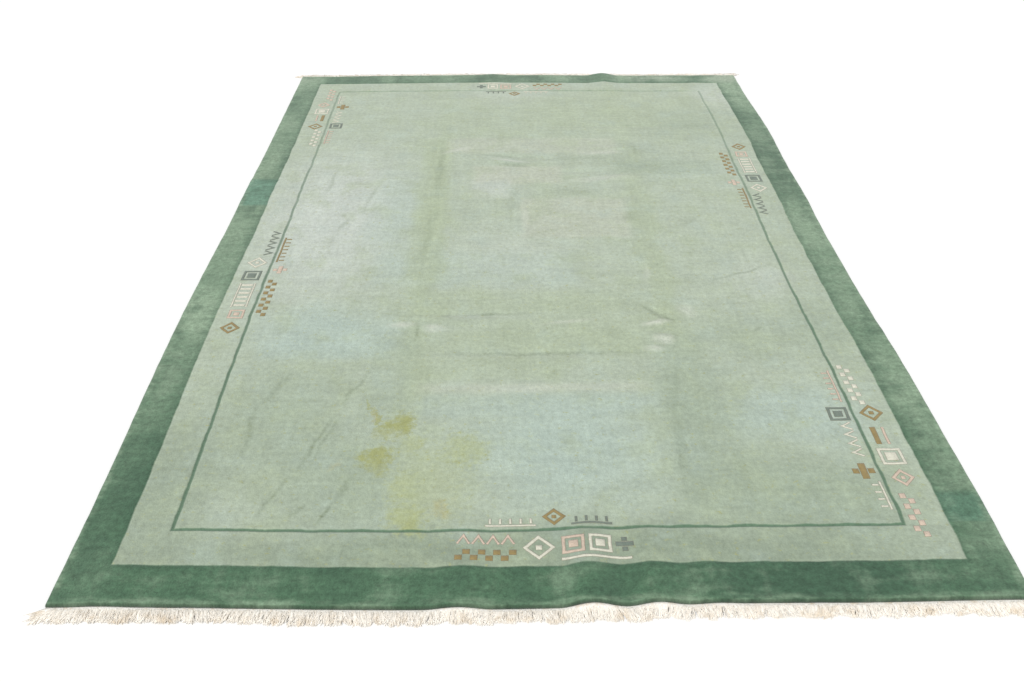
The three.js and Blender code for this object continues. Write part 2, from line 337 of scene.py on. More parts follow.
SIDE_CLUSTER = (
    Ornament("chevrons", "grey", -252, -26, 160, 24),
    Ornament("comb", "ochre", -208, 22, 156, 24),
    Ornament("lozenge", "ivory", -128, -46, 66, 64),
    Ornament("cross", "pink", -84, 34, 44, 44),
    Ornament("squares", "grey", -50, -46, 56, 56),
    Ornament("ladder", "ivory", 60, -46, 132, 50),
    Ornament("checks", "ochre", 74, 26, 198, 32),
    Ornament("squares", "pink", 162, -44, 46, 46),
    Ornament("lozenge", "ochre", 232, -46, 60, 58),
)

# Where each cluster lies: share of the line's half width and half length, shift along the line, turn in
# degrees
Spot = namedtuple("Spot", "cluster across along shift turn")
SPOTS = (
    Spot(END_CLUSTER, 0, -1, 0.012, 0),
    Spot(END_CLUSTER, 0, 1, 0.0, 180),
    Spot(CORNER_CLUSTER, 1, 0, -1.04, 90),
    Spot(CORNER_CLUSTER, -1, 0, 1.03, 270),
    Spot(SIDE_CLUSTER, -1, 0, -0.3, 270),
    Spot(SIDE_CLUSTER, 1, 0, 0.465, 90),
)

# How the locks of a fringe lean to one side and the other along it, as waves
Lean = namedtuple("Lean", "amount wavelength shift")
LEANS = (Lean(0.005, 0.410, 0.4), Lean(0.003, 0.173, 1.9))


def number_property(name, description, default, **options):
    return bpy.props.FloatProperty(name=name, description=description, default=default, **options)


def length_property(name, description, default):
    return number_property(name, description, default, unit="LENGTH", precision=4)


def angle_property(name, description, degrees):
    return number_property(name, description, math.radians(degrees), subtype="ANGLE")


def count_property(name, description, default):
    return bpy.props.IntProperty(name=name, description=description, default=default, min=1)


def vector_property(name, description, default, subtype, **limits):
    return bpy.props.FloatVectorProperty(
        name=name, description=description, default=default, subtype=subtype, **limits
    )


def colour_property(name, description, default):
    return vector_property(name, description, default, "COLOR", min=0.0, max=1.0)


class RugPileSettings(bpy.types.PropertyGroup):
    width: length_property("Width", "Width of the pile", 2.0)
    length: length_property("Length", "Length of the pile, without the fringes", 3.0)
    thickness: length_property("Thickness", "Height of the pile over the floor", 0.012)
    rim_radius: length_property("Rim radius", "Rounding of the pile along its edges", 0.005)
    border_width: length_property("Border width", "Width of the dark border", 0.100)
    line_inset: length_property("Line inset", "Distance of the carved line from the edge", 0.200)
    line_width: length_property("Line width", "Width of the carved line", 0.0080)
    line_depth: length_property("Line depth", "Depth of the carved line", 0.0026)
    border_cut: length_property("Border cut", "Depth of the cut between field and border", 0.0012)
    grid_step: length_property("Grid step", "Distance between the points of the pile's surface", 0.0093)
    unevenness: length_property("Unevenness", "Height of the shallow bumps in the pile", 0.0007)
    inlay_rise: length_property("Inlay rise", "Height of the ornaments over the pile", 0.0009)
    back_thickness: length_property("Back thickness", "Thickness of the knotted back", 0.0025)
    knot: length_property("Knot", "Distance between the knots", 0.0032)


class RugFringeSettings(bpy.types.PropertyGroup):
    seam: length_property("Seam", "Distance between the pile and the woven strip", 0.0003)
    strip_depth: length_property("Strip depth", "Width of the woven strip at each end", 0.008)
    strip_thickness: length_property("Strip thickness", "Thickness of the woven strip", 0.003)
    yarn_length: length_property("Yarn length", "Length of the longest warp ends", 0.039)
    yarn_radius: length_property("Yarn radius", "Radius of a warp end", 0.0011)
    corner_splay: length_property("Corner splay", "How far the fringe leans out at the corners", 0.034)
    corner_reach: length_property("Corner reach", "Length of the fringe that leans out", 0.070)
    locks: count_property("Locks", "Locks along one end", 170)
    yarns_per_lock: count_property("Yarns per lock", "Warp ends in a lock", 26)
    seed: count_property("Seed", "Seed of the unevenness of the yarns", 11)


class RugColourSettings(bpy.types.PropertyGroup):
    field: colour_property("Field", "Sage ground of the field", (0.396, 0.461, 0.361))
    pale: colour_property("Pale", "Palest wool in the field", (0.506, 0.554, 0.501))
    mist: colour_property("Mist", "Bluish wool in the field", (0.391, 0.483, 0.428))
    moss: colour_property("Moss", "Yellowish wool in the field", (0.371, 0.438, 0.300))
    shade: colour_property("Shade", "Dull wool in the field", (0.318, 0.386, 0.291))
    dusk: colour_property("Dusk", "Darkest wool at the near end of the field", (0.270, 0.330, 0.245))
    stain: colour_property("Stain", "Olive stains in the field", (0.320, 0.345, 0.135))
    stain_pale: colour_property("Pale stain", "Yellow stain in the field", (0.380, 0.430, 0.230))
    rust: colour_property("Rust", "Rusty spots by the stains", (0.400, 0.362, 0.160))
    warm: colour_property("Warm", "Warm pale wool in the field", (0.468, 0.492, 0.402))
    # Painted highlights, partly wear, on the crests of creases; painted shade in their troughs, also laid
    # along dark streaks
    wear_and_highlight: colour_property("Worn", "Worn wool on the crests of the creases", (0.590, 0.620, 0.540))
    crease_shade_and_streaks: colour_property("Fold", "Dirty wool in the troughs of the creases", (0.190, 0.235, 0.155))
    border: colour_property("Border", "Dark green ground of the border", (0.070, 0.146, 0.084))
    # Painted sheen and painted shade of the border's nap; the shade colour also darkens the dyed teal bands
    sheen: colour_property("Border sheen", "Border wool brushed towards the light", (0.254, 0.352, 0.240))
    shade_and_dark_dye: colour_property("Border shade", "Border wool brushed away from the light", (0.048, 0.106, 0.063))
    teal: colour_property("Border teal", "Dye lot of the bluish bands in the border", (0.115, 0.245, 0.172))
    line: colour_property("Line", "Wool of the carved line", (0.098, 0.174, 0.110))
    ivory: colour_property("Ivory", "Ivory wool of the ornaments", (0.640, 0.630, 0.520))
    pink: colour_property("Pink", "Pink wool of the ornaments", (0.580, 0.470, 0.375))
    ochre: colour_property("Ochre", "Ochre wool of the ornaments", (0.290, 0.220, 0.095))
    grey: colour_property("Grey", "Grey wool of the ornaments", (0.170, 0.210, 0.175))
    # Painted shade in the carved trenches round the ornaments
    trench_shade: colour_property("Trench", "Wool in the trenches round the ornaments", (0.250, 0.235, 0.180))
    yarn: colour_property("Warp yarn", "Undyed cotton of the fringe", (0.980, 0.945, 0.880))
    yarn_dull: colour_property("Worn yarn", "Soiled cotton at the tips of the fringe", (0.800, 0.700, 0.560))


class RugStageSettings(bpy.types.PropertyGroup):
    floor_size: length_property("Floor size", "Width and length of the floor", 60.0)
    floor_colour: colour_property("Floor", "Colour of the floor", (0.920, 0.920, 0.915))
    sky: number_property("Sky", "Strength of the light from all round", 0.62)
    lamp_strength: number_property("Lamp", "Strength of the soft lamp", 2.30)
    lamp_softness: angle_property("Lamp softness", "Width of the lamp as an angle", 30.0)
    lamp_from: vector_property("Lamp from", "Where the lamp shines from", (-0.30, -0.62, 0.72), "XYZ")
    lens: number_property("Lens", "Focal length, in millimetres", 32.67)
    camera_place: vector_property("Camera place", "Where it stands", (-0.073, -2.715, 1.532), "TRANSLATION")
    camera_pitch: angle_property("Camera pitch", "Turn up from straight down", 54.23)
    camera_heading: angle_property("Camera heading", "Turn to the left", -0.58)


class RugSettings(bpy.types.PropertyGroup):
    pile: bpy.props.PointerProperty(type=RugPileSettings)
    fringe: bpy.props.PointerProperty(type=RugFringeSettings)
    colours: bpy.props.PointerProperty(type=RugColourSettings)
    stage: bpy.props.PointerProperty(type=RugStageSettings)


# The shape of the rug

BUMP_WAVELENGTH = 0.090
FINE_BUMP_WAVELENGTH = 0.031
FINE_BUMP_SHARE = 0.6
LINE_SHOULDER = 0.002
BORDER_CUT_HALF = 0.004


def swell(distance, half):
    """1 in the middle of a stretch, falling smoothly to 0 at its ends."""
    share = np.minimum(1.0, np.abs(distance) / half)
    return (1.0 + np.cos(math.pi * share)) / 2.0


def bow_at(edge, along):
    return sum(bow.out * swell(along - bow.at, bow.half) for bow in BOWS if bow.edge == edge)


def lift_at(pile, x, y):
    """Height of the rug's underside over the floor."""
    lift = np.zeros_like(x)
    for ripple in RIPPLES:
        inwards = pile.length / 2 - ENDS[ripple.end] * y
        lift += ripple.height * swell(x - ripple.at, ripple.half) * swell(inwards, ripple.reach)
    return lift


def crease_at(x, y):
    height = np.zeros_like(x)
    for crease in CREASES:
        turn = math.radians(crease.turn)
        along = (x - crease.x) * math.cos(turn) + (y - crease.y) * math.sin(turn)
        across = (y - crease.y) * math.cos(turn) - (x - crease.x) * math.sin(turn)
        height += crease.height * swell(along, crease.half_along) * swell(across, crease.half_across)
    return height


def waver(x, y, wavelength):
    """Smooth random waves from -1 to 1, the same in every run."""
    return np.array([noise.noise((a / wavelength, b / wavelength, wavelength)) for a, b in zip(x, y)])


def wavers(x, y, wavelength):
    """Pairs of such waves, across the rug and along it."""
    return np.column_stack((waver(x, y, wavelength), waver(y, x, wavelength)))


def swayed(x, y, *sways):
    """Places shifted about by random waves, each given by its height and its wavelength."""
    shift = sum(height * wavers(x, y, wavelength) for height, wavelength in sways)
    return x + shift[:, 0], y + shift[:, 1]


def laid_out(pile, x, y, height):
    """Points of the flat rug, with heights over its underside, put where they lie on the floor."""
    side = np.where(x < 0, bow_at("left", y), bow_at("right", y)) / (pile.width / 2)
    end = np.where(y < 0, bow_at("near", x), bow_at("far", x)) / (pile.length / 2)
    return np.column_stack((x * (1 + side), y * (1 + end), lift_at(pile, x, y) + height))


def inside_frame(pile, inset, x, y):
    """Distance outwards from a rectangle that is set in from the rug's edges."""
    return np.maximum(np.abs(x) - (pile.width / 2 - inset), np.abs(y) - (pile.length / 2 - inset))


def pile_height(pile, x, y):
    """Height of the uncut pile over the underside."""
    soft = waver(x, y, BUMP_WAVELENGTH) + FINE_BUMP_SHARE * waver(x, y, FINE_BUMP_WAVELENGTH)
    return pile.thickness + crease_at(x, y) + pile.unevenness * soft


def cut_pile_height(pile, x, y):
    """Height of the pile with its rounded rim, the carved line and the cut round the field."""
    line_half = pile.line_width / 2 + LINE_SHOULDER
    line = pile.line_depth * swell(inside_frame(pile, pile.line_inset, x, y), line_half)
    cut = pile.border_cut * swell(inside_frame(pile, pile.border_width, x, y), BORDER_CUT_HALF)
    past_rim = np.clip(inside_frame(pile, pile.rim_radius, x, y), 0.0, pile.rim_radius)
    rounding = pile.rim_radius - np.sqrt(pile.rim_radius**2 - past_rim**2)
    return pile_height(pile, x, y) - line - cut - rounding


# The wool's tones. A sway is a height and a wavelength

PATCH_SWAYS = ((0.045, 0.140), (0.020, 0.047))
PANEL_SWAY = (0.010, 0.110)
STRAIGHT_FROM = 0.5


def smooth_step(low, high, value):
    share = np.clip((value - low) / (high - low), 0.0, 1.0)
    return share * share * (3 - 2 * share)


def lay_tone(ground, share, tone):
    return ground + share[:, None] * (np.array(tone) - ground)


def patched_tones(colours, ground, patches, x, y):
    """Linear colours at points of the flat rug: patches of other tones over a ground, ragged unless hard."""
    tones = np.tile(ground, (len(x), 1))
    ragged_x, ragged_y = swayed(x, y, *PATCH_SWAYS)
    for patch in patches:
        straight = patch.hardness > STRAIGHT_FROM
        from_x = ((x if straight else ragged_x) - patch.x) / patch.half_x
        from_y = ((y if straight else ragged_y) - patch.y) / patch.half_y
        share = patch.strength * (1 - smooth_step(patch.hardness, 1.0, np.hypot(from_x, from_y)))
        tones = lay_tone(tones, share, getattr(colours, patch.tone))
    return tones


def panelled_tones(colours, tones, x, y):
    """The same colours with soft-edged rectangles of other tones laid over them."""
    bent_x, bent_y = swayed(x, y, PANEL_SWAY)
    for panel in PANELS:
        past_x = np.abs(bent_x - panel.x) - panel.half_x
        past_y = np.abs(bent_y - panel.y) - panel.half_y
        distance = np.maximum(past_x, past_y)
        share = panel.strength * (1 - smooth_step(-panel.softness, panel.softness, distance))
        tones = lay_tone(tones, share, getattr(colours, panel.tone))
    return tones


# Meshes

BESIDE_CUT = 0.006
LINE_STEP = 0.0024
BORDER_STEP = 0.003
RIM_STEP = 0.0016
BACK_STEP = 0.024
BACK_INSET = 0.0025
STRIP_STEP = 0.010
STRIP_ROWS = 5
STRIP_ROUNDING = 0.45

# The pile's edge: its sway, and the rings of its side, each with its share of the way down and distance out
EDGE_SWAY = 0.0012
EDGE_WAVELENGTH = 0.053
EDGE_REACH = 0.040
SIDE_RINGS = ((0.35, 0.0004), (0.75, 0.0002), (0.97, -0.0008))
# Painted shade on the rounded rim and down the sides: a share that rises from 0 where the rounding starts to
# this at the pile's edge, and on to 1 at the floor
RIM_SHADE = 0.3


def mesh_from(bm, name):
    bmesh.ops.recalc_face_normals(bm, faces=bm.faces[:])
    mesh = bpy.data.meshes.new(name)
    bm.to_mesh(mesh)
    bm.free()
    return mesh


def made_items(made, kind):
    """Items of one kind among the geometry that a bmesh operator made."""
    return [item for item in made["geom"] if isinstance(item, kind)]


def new_piece(name, mesh, material, replaced=()):
    """Puts a finished mesh into the scene as a piece of the rug."""
    piece = bpy.data.objects.new(name, mesh)
    bpy.context.scene.collection.objects.link(piece)
    mesh.materials.append(material)
    mesh.shade_smooth()
    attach(piece, BODY)
    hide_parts(*replaced)
    return piece


def grid_lines(stops):
    """Grid lines on both sides of the middle, from stretches that end at a stop, each with its own step."""
    lines = [0.0]
    for stop, step in stops:
        start = lines[-1]
        count = math.ceil((stop - start) / step)
        lines += [start + (stop - start) * (i + 1) / count for i in range(count)]
    return np.array([-line for line in reversed(lines[1:])] + lines)


def pile_lines(pile, half):
    """Grid lines across or along the pile, closer together at the carved line, the border and the rim."""
    line = half - pile.line_inset
    border = half - pile.border_width
    beside_line = pile.line_width / 2 + BESIDE_CUT
    beside_rim = 2 * pile.rim_radius
    return grid_lines(
        (
            (line - beside_line, pile.grid_step),
            (line + beside_line, LINE_STEP),
            (border - BESIDE_CUT, pile.grid_step),
            (border + BESIDE_CUT, BORDER_STEP),
            (half - beside_rim, pile.grid_step),
            (half, RIM_STEP),
        )
    )


def flat_points(bm, columns, rows):
    """A new grid of faces in a bmesh, and the flat place of each of its points."""
    made = bmesh.ops.create_grid(bm, x_segments=len(columns) - 1, y_segments=len(rows) - 1, size=1.0)
    shares = np.array([vert.co for vert in made["verts"]])
    x = columns[np.rint((shares[:, 0] + 1) / 2 * (len(columns) - 1)).astype(int)]
    y = rows[np.rint((shares[:, 1] + 1) / 2 * (len(rows) - 1)).astype(int)]
    return made["verts"], x, y


def put_points(verts, points):
    for vert, point in zip(verts, points):
        vert.co = point


def pile_mesh(pile, colours):
    """The pile's surface with its rounded rim, its sides down to the floor, the tones of its wool and the
    painted shade on its rim and sides.
    """
    bm = bmesh.new()
    layers = bm.verts.layers
    places = ("flat", "field_tone", "border_tone")
    for name in places:
        layers.float_vector.new(name)
    wall_shade = layers.float.new("wall_shade")
    flat, field_tone, border_tone = (layers.float_vector[name] for name in places)
    verts, x, y = flat_points(bm, pile_lines(pile, pile.width / 2), pile_lines(pile, pile.length / 2))
    past_edge = inside_frame(pile, 0.0, x, y)
    edge_sway = EDGE_SWAY * swell(past_edge, EDGE_REACH)
    points = laid_out(pile, x, y, cut_pile_height(pile, x, y))
    points[:, :2] += edge_sway[:, None] * wavers(x, y, EDGE_WAVELENGTH)
    put_points(verts, points)
    # Painted shade on the rounded rim, rising towards the edge
    rim_shade = RIM_SHADE * np.clip(1 + past_edge / pile.rim_radius, 0.0, 1.0)
    field = panelled_tones(colours, patched_tones(colours, colours.field, FIELD_PATCHES, x, y), x, y)
    border = patched_tones(colours, colours.border, BORDER_PATCHES, x, y)
    for i, vert in enumerate(verts):
        vert[flat] = (x[i], y[i], 0.0)
        vert[wall_shade] = rim_shade[i]
        vert[field_tone] = field[i]
        vert[border_tone] = border[i]
    corner = np.array((pile.width, pile.length)) / 2
    rim = [edge for edge in bm.edges if edge.is_boundary]
    for share_down, out in SIDE_RINGS:
        made = bmesh.ops.extrude_edge_only(bm, edges=rim)
        rim = made_items(made, bmesh.types.BMEdge)
        lower = made_items(made, bmesh.types.BMVert)
        spots = np.array([vert[flat] for vert in lower])[:, :2]
        x, y = spots.T
        points = laid_out(pile, x, y, cut_pile_height(pile, x, y) * (1 - share_down))
        outwards = np.sign(spots) * (np.abs(spots) >= corner - MM)
        points[:, :2] += outwards * out + EDGE_SWAY * wavers(x, y, EDGE_WAVELENGTH)
        put_points(lower, points)
        for vert in lower:
            # Painted shade down the sides
            vert[wall_shade] = RIM_SHADE + (1 - RIM_SHADE) * share_down
    return mesh_from(bm, "pile")


def slab_mesh(pile, name, columns, rows, thickness):
    """A thin closed slab that lies on the floor under the ripples, with its flat places as an attribute."""
    bm = bmesh.new()
    flat = bm.verts.layers.float_vector.new("flat")
    verts, x, y = flat_points(bm, columns, rows)
    for vert, a, b in zip(verts, x, y):
        vert[flat] = (a, b, 0.0)
    put_points(verts, laid_out(pile, x, y, 0.0))
    made = bmesh.ops.extrude_face_region(bm, geom=bm.faces[:], use_keep_orig=True)
    top = made_items(made, bmesh.types.BMVert)
    bmesh.ops.translate(bm, verts=top, vec=(0.0, 0.0, thickness))
    return mesh_from(bm, name)


# Ornaments: each is a list of strokes, and a stroke is a path of points with a width

STROKE = 8.5 * MM
THIN_STROKE = 6.4 * MM
STROKE_STEP = 7 * MM
STROKE_PARTING = 1.5 * MM
COMB_PITCH = 21 * MM
RUNG_PITCH = 22 * MM
CHECK_PITCH = 33 * MM
CHEVRON_PITCH = 32 * MM
CORE_MARGIN = 3.4 * STROKE
LOZENGE_MARGIN = 0.7 * STROKE
LOZENGE_CORE = 0.2
GABLE_HALF = 0.42 * CHEVRON_PITCH
BLOCK_HEIGHT = 0.46
RUNG = 1.4 * STROKE
SHARPEST_MITRE = 0.4
INLAY_SUNK = 3 * MM
INLAY_CLEARANCE = 0.2 * MM
INLAY_SWAYS = ((1.0 * MM, 37 * MM), (0.6 * MM, 11 * MM))
Stroke = namedtuple("Stroke", "path width closed", defaults=(False,))


def middles(wide, pitch):
    """Middles of equal stretches of about the given pitch."""
    count = round(wide / pitch)
    return [(i + 0.5) * wide / count for i in range(count)]


def bar(wide, high):
    return [Stroke([(0.0, high / 2), (wide, high / 2)], high)]


def squares(wide, high):
    """An outlined square with a small solid one inside."""
    half = STROKE / 2
    outline = [(half, half), (wide - half, half), (wide - half, high - half), (half, high - half)]
    core = [(CORE_MARGIN / 2, high / 2), (wide - CORE_MARGIN / 2, high / 2)]
    return [Stroke(outline, STROKE, True), Stroke(core, high - CORE_MARGIN)]


def lozenge(wide, high):
    """An outlined square that stands on a corner, with a small bar inside."""
    half = LOZENGE_MARGIN
    outline = [(wide / 2, half), (wide - half, high / 2), (wide / 2, high - half), (half, high / 2)]
    core = [((1 + side * LOZENGE_CORE) * wide / 2, high / 2) for side in (-1, 1)]
    return [Stroke(outline, STROKE, True), Stroke(core, LOZENGE_CORE * high)]


def cross(wide, high):
    """A cross with four like arms."""
    arm = wide / 3
    lower = [(wide / 2, 0.0), (wide / 2, (high - arm) / 2 - STROKE_PARTING)]
    upper = [(wide / 2, (high + arm) / 2 + STROKE_PARTING), (wide / 2, high)]
    return [Stroke([(0.0, high / 2), (wide, high / 2)], arm), Stroke(lower, arm), Stroke(upper, arm)]


def comb(wide, high):
    """A bar with teeth that stand on it."""
    foot = THIN_STROKE + STROKE_PARTING
    teeth = [Stroke([(x, foot), (x, high)], THIN_STROKE) for x in middles(wide, COMB_PITCH)]
    return bar(wide, THIN_STROKE) + teeth


def ladder(wide, high):
    """Rungs between two rails."""
    foot = THIN_STROKE + STROKE_PARTING
    top_rail = Stroke([(0.0, high - THIN_STROKE / 2), (wide, high - THIN_STROKE / 2)], THIN_STROKE)
    rungs = [Stroke([(x, foot), (x, high - foot)], RUNG) for x in middles(wide, RUNG_PITCH)]
    return bar(wide, THIN_STROKE) + rungs + [top_rail]


def chevrons(wide, high):
    """A row of gables, each apart."""
    places = middles(wide, CHEVRON_PITCH)
    gables = [[(x - GABLE_HALF, 0.0), (x, high), (x + GABLE_HALF, 0.0)] for x in places]
    return [Stroke(gable, THIN_STROKE) for gable in gables]


def checks(wide, high):
    """Two rows of small blocks, set over each other like bricks."""
    blocks = []
    for i, x in enumerate(middles(wide, CHECK_PITCH / 2)):
        y = high * (0.25 + 0.5 * (i % 2))
        blocks.append(Stroke([(x - CHECK_PITCH / 4, y), (x + CHECK_PITCH / 4, y)], BLOCK_HEIGHT * high))
    return blocks


KINDS = {kind.__name__: kind for kind in (bar, squares, lozenge, cross, comb, ladder, chevrons, checks)}


def turned(point, degrees):
    angle = math.radians(degrees)
    x, y = point
    return x * math.cos(angle) - y * math.sin(angle), x * math.sin(angle) + y * math.cos(angle)


def ornament_strokes(ornament):
    """An ornament's strokes in its cluster's frame."""
    wide, high = ornament.wide * MM, ornament.high * MM
    corner_x = ornament.along * MM - wide / 2
    corner_y = ornament.inward * MM - high / 2
    return [
        stroke._replace(path=[(x + corner_x, y + corner_y) for x, y in stroke.path])
        for stroke in KINDS[ornament.kind](wide, high)
    ]


def yarn_strokes(pile, yarn):
    """All strokes of one yarn, in the flat rug's frame."""
    half_width, half_length = pile.width / 2 - pile.line_inset, pile.length / 2 - pile.line_inset
    strokes = []
    for spot in SPOTS:
        middle_x = spot.across * half_width if spot.across else spot.shift
        middle_y = spot.along * half_length if spot.along else spot.shift
        for ornament in spot.cluster:
            if ornament.yarn != yarn:
                continue
            for stroke in ornament_strokes(ornament):
                path = [turned(point, spot.turn) for point in stroke.path]
                strokes.append(stroke._replace(path=[(x + middle_x, y + middle_y) for x, y in path]))
    return strokes


def dense(stroke):
    """The stroke's path with points added along its straight stretches."""
    path = [Vector(point) for point in stroke.path]
    ends = path[1:] + path[:1] if stroke.closed else path[1:]
    points = []
    for start, end in zip(path, ends):
        count = max(1, round((end - start).length / STROKE_STEP))
        points += [start.lerp(end, i / count) for i in range(count)]
    return points if stroke.closed else points + [path[-1]]


def stroke_faces(bm, stroke):
    """Lays a stroke as a flat ribbon, with mitred corners."""
    points = dense(stroke)
    count = len(points)
    pairs = []
    for i, point in enumerate(points):
        before = points[i - 1] if i or stroke.closed else None
        after = points[(i + 1) % count] if i + 1 < count or stroke.closed else None
        into = (point - before if before else after - point).normalized()
        out_of = (after - point if after else into).normalized()
        side = Vector((-into.y - out_of.y, into.x + out_of.x)).normalized()
        mitre = stroke.width / 2 / max(SHARPEST_MITRE, side.dot(Vector((-into.y, into.x))))
        pairs.append([bm.verts.new((*(point + sign * mitre * side), 0.0)) for sign in (1, -1)])
    following = pairs[1:] + pairs[:1] if stroke.closed else pairs[1:]
    return [bm.faces.new((a[0], a[1], b[1], b[0])) for a, b in zip(pairs, following)]


def inlay_mesh(pile, yarn):
    """The ornaments of one yarn, sunk into the pile, with rims carved round."""
    insets = ((1.1 * MM, 0.0), (1.0 * MM, pile.inlay_rise))
    bm = bmesh.new()
    # Rises from 0 at the outer edge of the carved rims to 1 on the tops; the material paints shade with it
    rim = bm.verts.layers.float.new("rim")
    faces = [face for stroke in yarn_strokes(pile, yarn) for face in stroke_faces(bm, stroke)]
    made = bmesh.ops.extrude_face_region(bm, geom=faces, use_keep_orig=True)
    top = made_items(made, bmesh.types.BMFace)
    bmesh.ops.translate(bm, verts=made_items(made, bmesh.types.BMVert), vec=(0.0, 0.0, INLAY_SUNK))
    bmesh.ops.recalc_face_normals(bm, faces=bm.faces[:])
    for thickness, depth in insets:
        bmesh.ops.inset_region(
            bm, faces=top, thickness=thickness, depth=depth, use_even_offset=False, use_boundary=True
        )
        for vert in {vert for face in top for vert in face.verts}:
            vert[rim] += 1 / len(insets)
    places = np.array([vert.co for vert in bm.verts])
    x, y = swayed(places[:, 0], places[:, 1], *INLAY_SWAYS)
    rise = places[:, 2] - INLAY_SUNK + INLAY_CLEARANCE
    put_points(bm.verts, laid_out(pile, x, y, pile_height(pile, x, y) + rise))
    return mesh_from(bm, f"inlay_{yarn}")


# Fringes, each in a frame of its own where it points towards -Y

def fringe_edge(pile, end, x):
    """How far out the pile's edge lies at each place along a fringe, and its lift there."""
    turn = -ENDS[end]
    out = pile.length / 2 + bow_at(end, turn * x)
    return out, lift_at(pile, turn * x, np.full_like(x, ENDS[end] * pile.length / 2))


def in_place(points, end):
    """Points of a fringe, turned to the end of the rug that it belongs to."""
    return points * (-ENDS[end], -ENDS[end], 1)


def strip_mesh(pile, fringe, end):
    """The woven strip: a thin closed band with rounded long edges."""
    bm = bmesh.new()
    flat = bm.verts.layers.float_vector.new("flat")
    columns = grid_lines(((pile.width / 2, STRIP_STEP),))
    verts, x, across = flat_points(bm, columns, np.linspace(0.0, 1.0, STRIP_ROWS))
    out, lift = fringe_edge(pile, end, x)
    rounded = fringe.strip_thickness * (1 - STRIP_ROUNDING * (2 * across - 1) ** 4)
    y = -(out + fringe.seam + across * fringe.strip_depth)
    for vert, a, b in zip(verts, x, y):
        vert[flat] = (a, b, 0.0)
    put_points(verts, in_place(np.column_stack((x, y, lift)), end))
    made = bmesh.ops.extrude_face_region(bm, geom=bm.faces[:], use_keep_orig=True)
    top = made_items(made, bmesh.types.BMVert)
    heights = {tuple(vert.co): height for vert, height in zip(verts, rounded)}
    for vert in top:
        vert.co.z += heights[tuple(vert.co)]
    return mesh_from(bm, f"woven_strip_{end}")


def corner_at(pile, fringe, x):
    """0 along most of a fringe, rising to 1 at its corners."""
    to_corner = pile.width / 2 - np.abs(x)
    return np.clip(1 - to_corner / fringe.corner_reach, 0.0, 1.0) ** 2


def lean_at(pile, fringe, x):
    waves = sum(lean.amount * np.sin(2 * math.pi * x / lean.wavelength + lean.shift) for lean in LEANS)
    return waves * (1 - corner_at(pile, fringe, x))


# Yarns: their stations from root to tip and taper there, then the cores, spreads and bends of the locks
YARN_STATIONS = np.array((0.0, 0.12, 0.28, 0.46, 0.64, 0.82, 1.0))
YARN_TAPER = np.array((0.9, 1.0, 1.0, 1.0, 1.0, 0.95, 0.65))
YARN_SIDES = 3
CORES_PER_LOCK = 3
CORE_HALF_WIDTH = 5.5 * MM
CORE_HALF_HEIGHT = 1.5 * MM
CORE_LENGTH = 0.88
LOCK_LEAN = 4 * MM
LOCK_SHORTENING = 0.24
LOCK_WAVE = 0.10
LOCK_WAVELENGTH = 0.110
ROOT_SPREAD = 0.55
ROOT_DEPTH = 0.55
ROOT_HEIGHTS = (0.3, 0.75)
CLUMPING = (-0.2, 0.4)
SPLAYING = (0.1, 1.1)
YARN_SHORTENING = 0.20
YARN_LEAN = 4.5 * MM
CORNER_LENGTHENING = 0.30
SHORTEST_REACH = 0.3
YARN_HEAP = 3.4 * MM
YARN_ARCH = 2.8 * MM
YARN_CURL = 2 * MM
CURL_TURNS = 1.3
LEAN_BEND = 1.4
FALL_BEND = 2.2


def core_yarns(fringe):
    """Which yarns are the matted cores of their locks: the first ones of each."""
    return np.arange(fringe.locks * fringe.yarns_per_lock) % fringe.yarns_per_lock < CORES_PER_LOCK


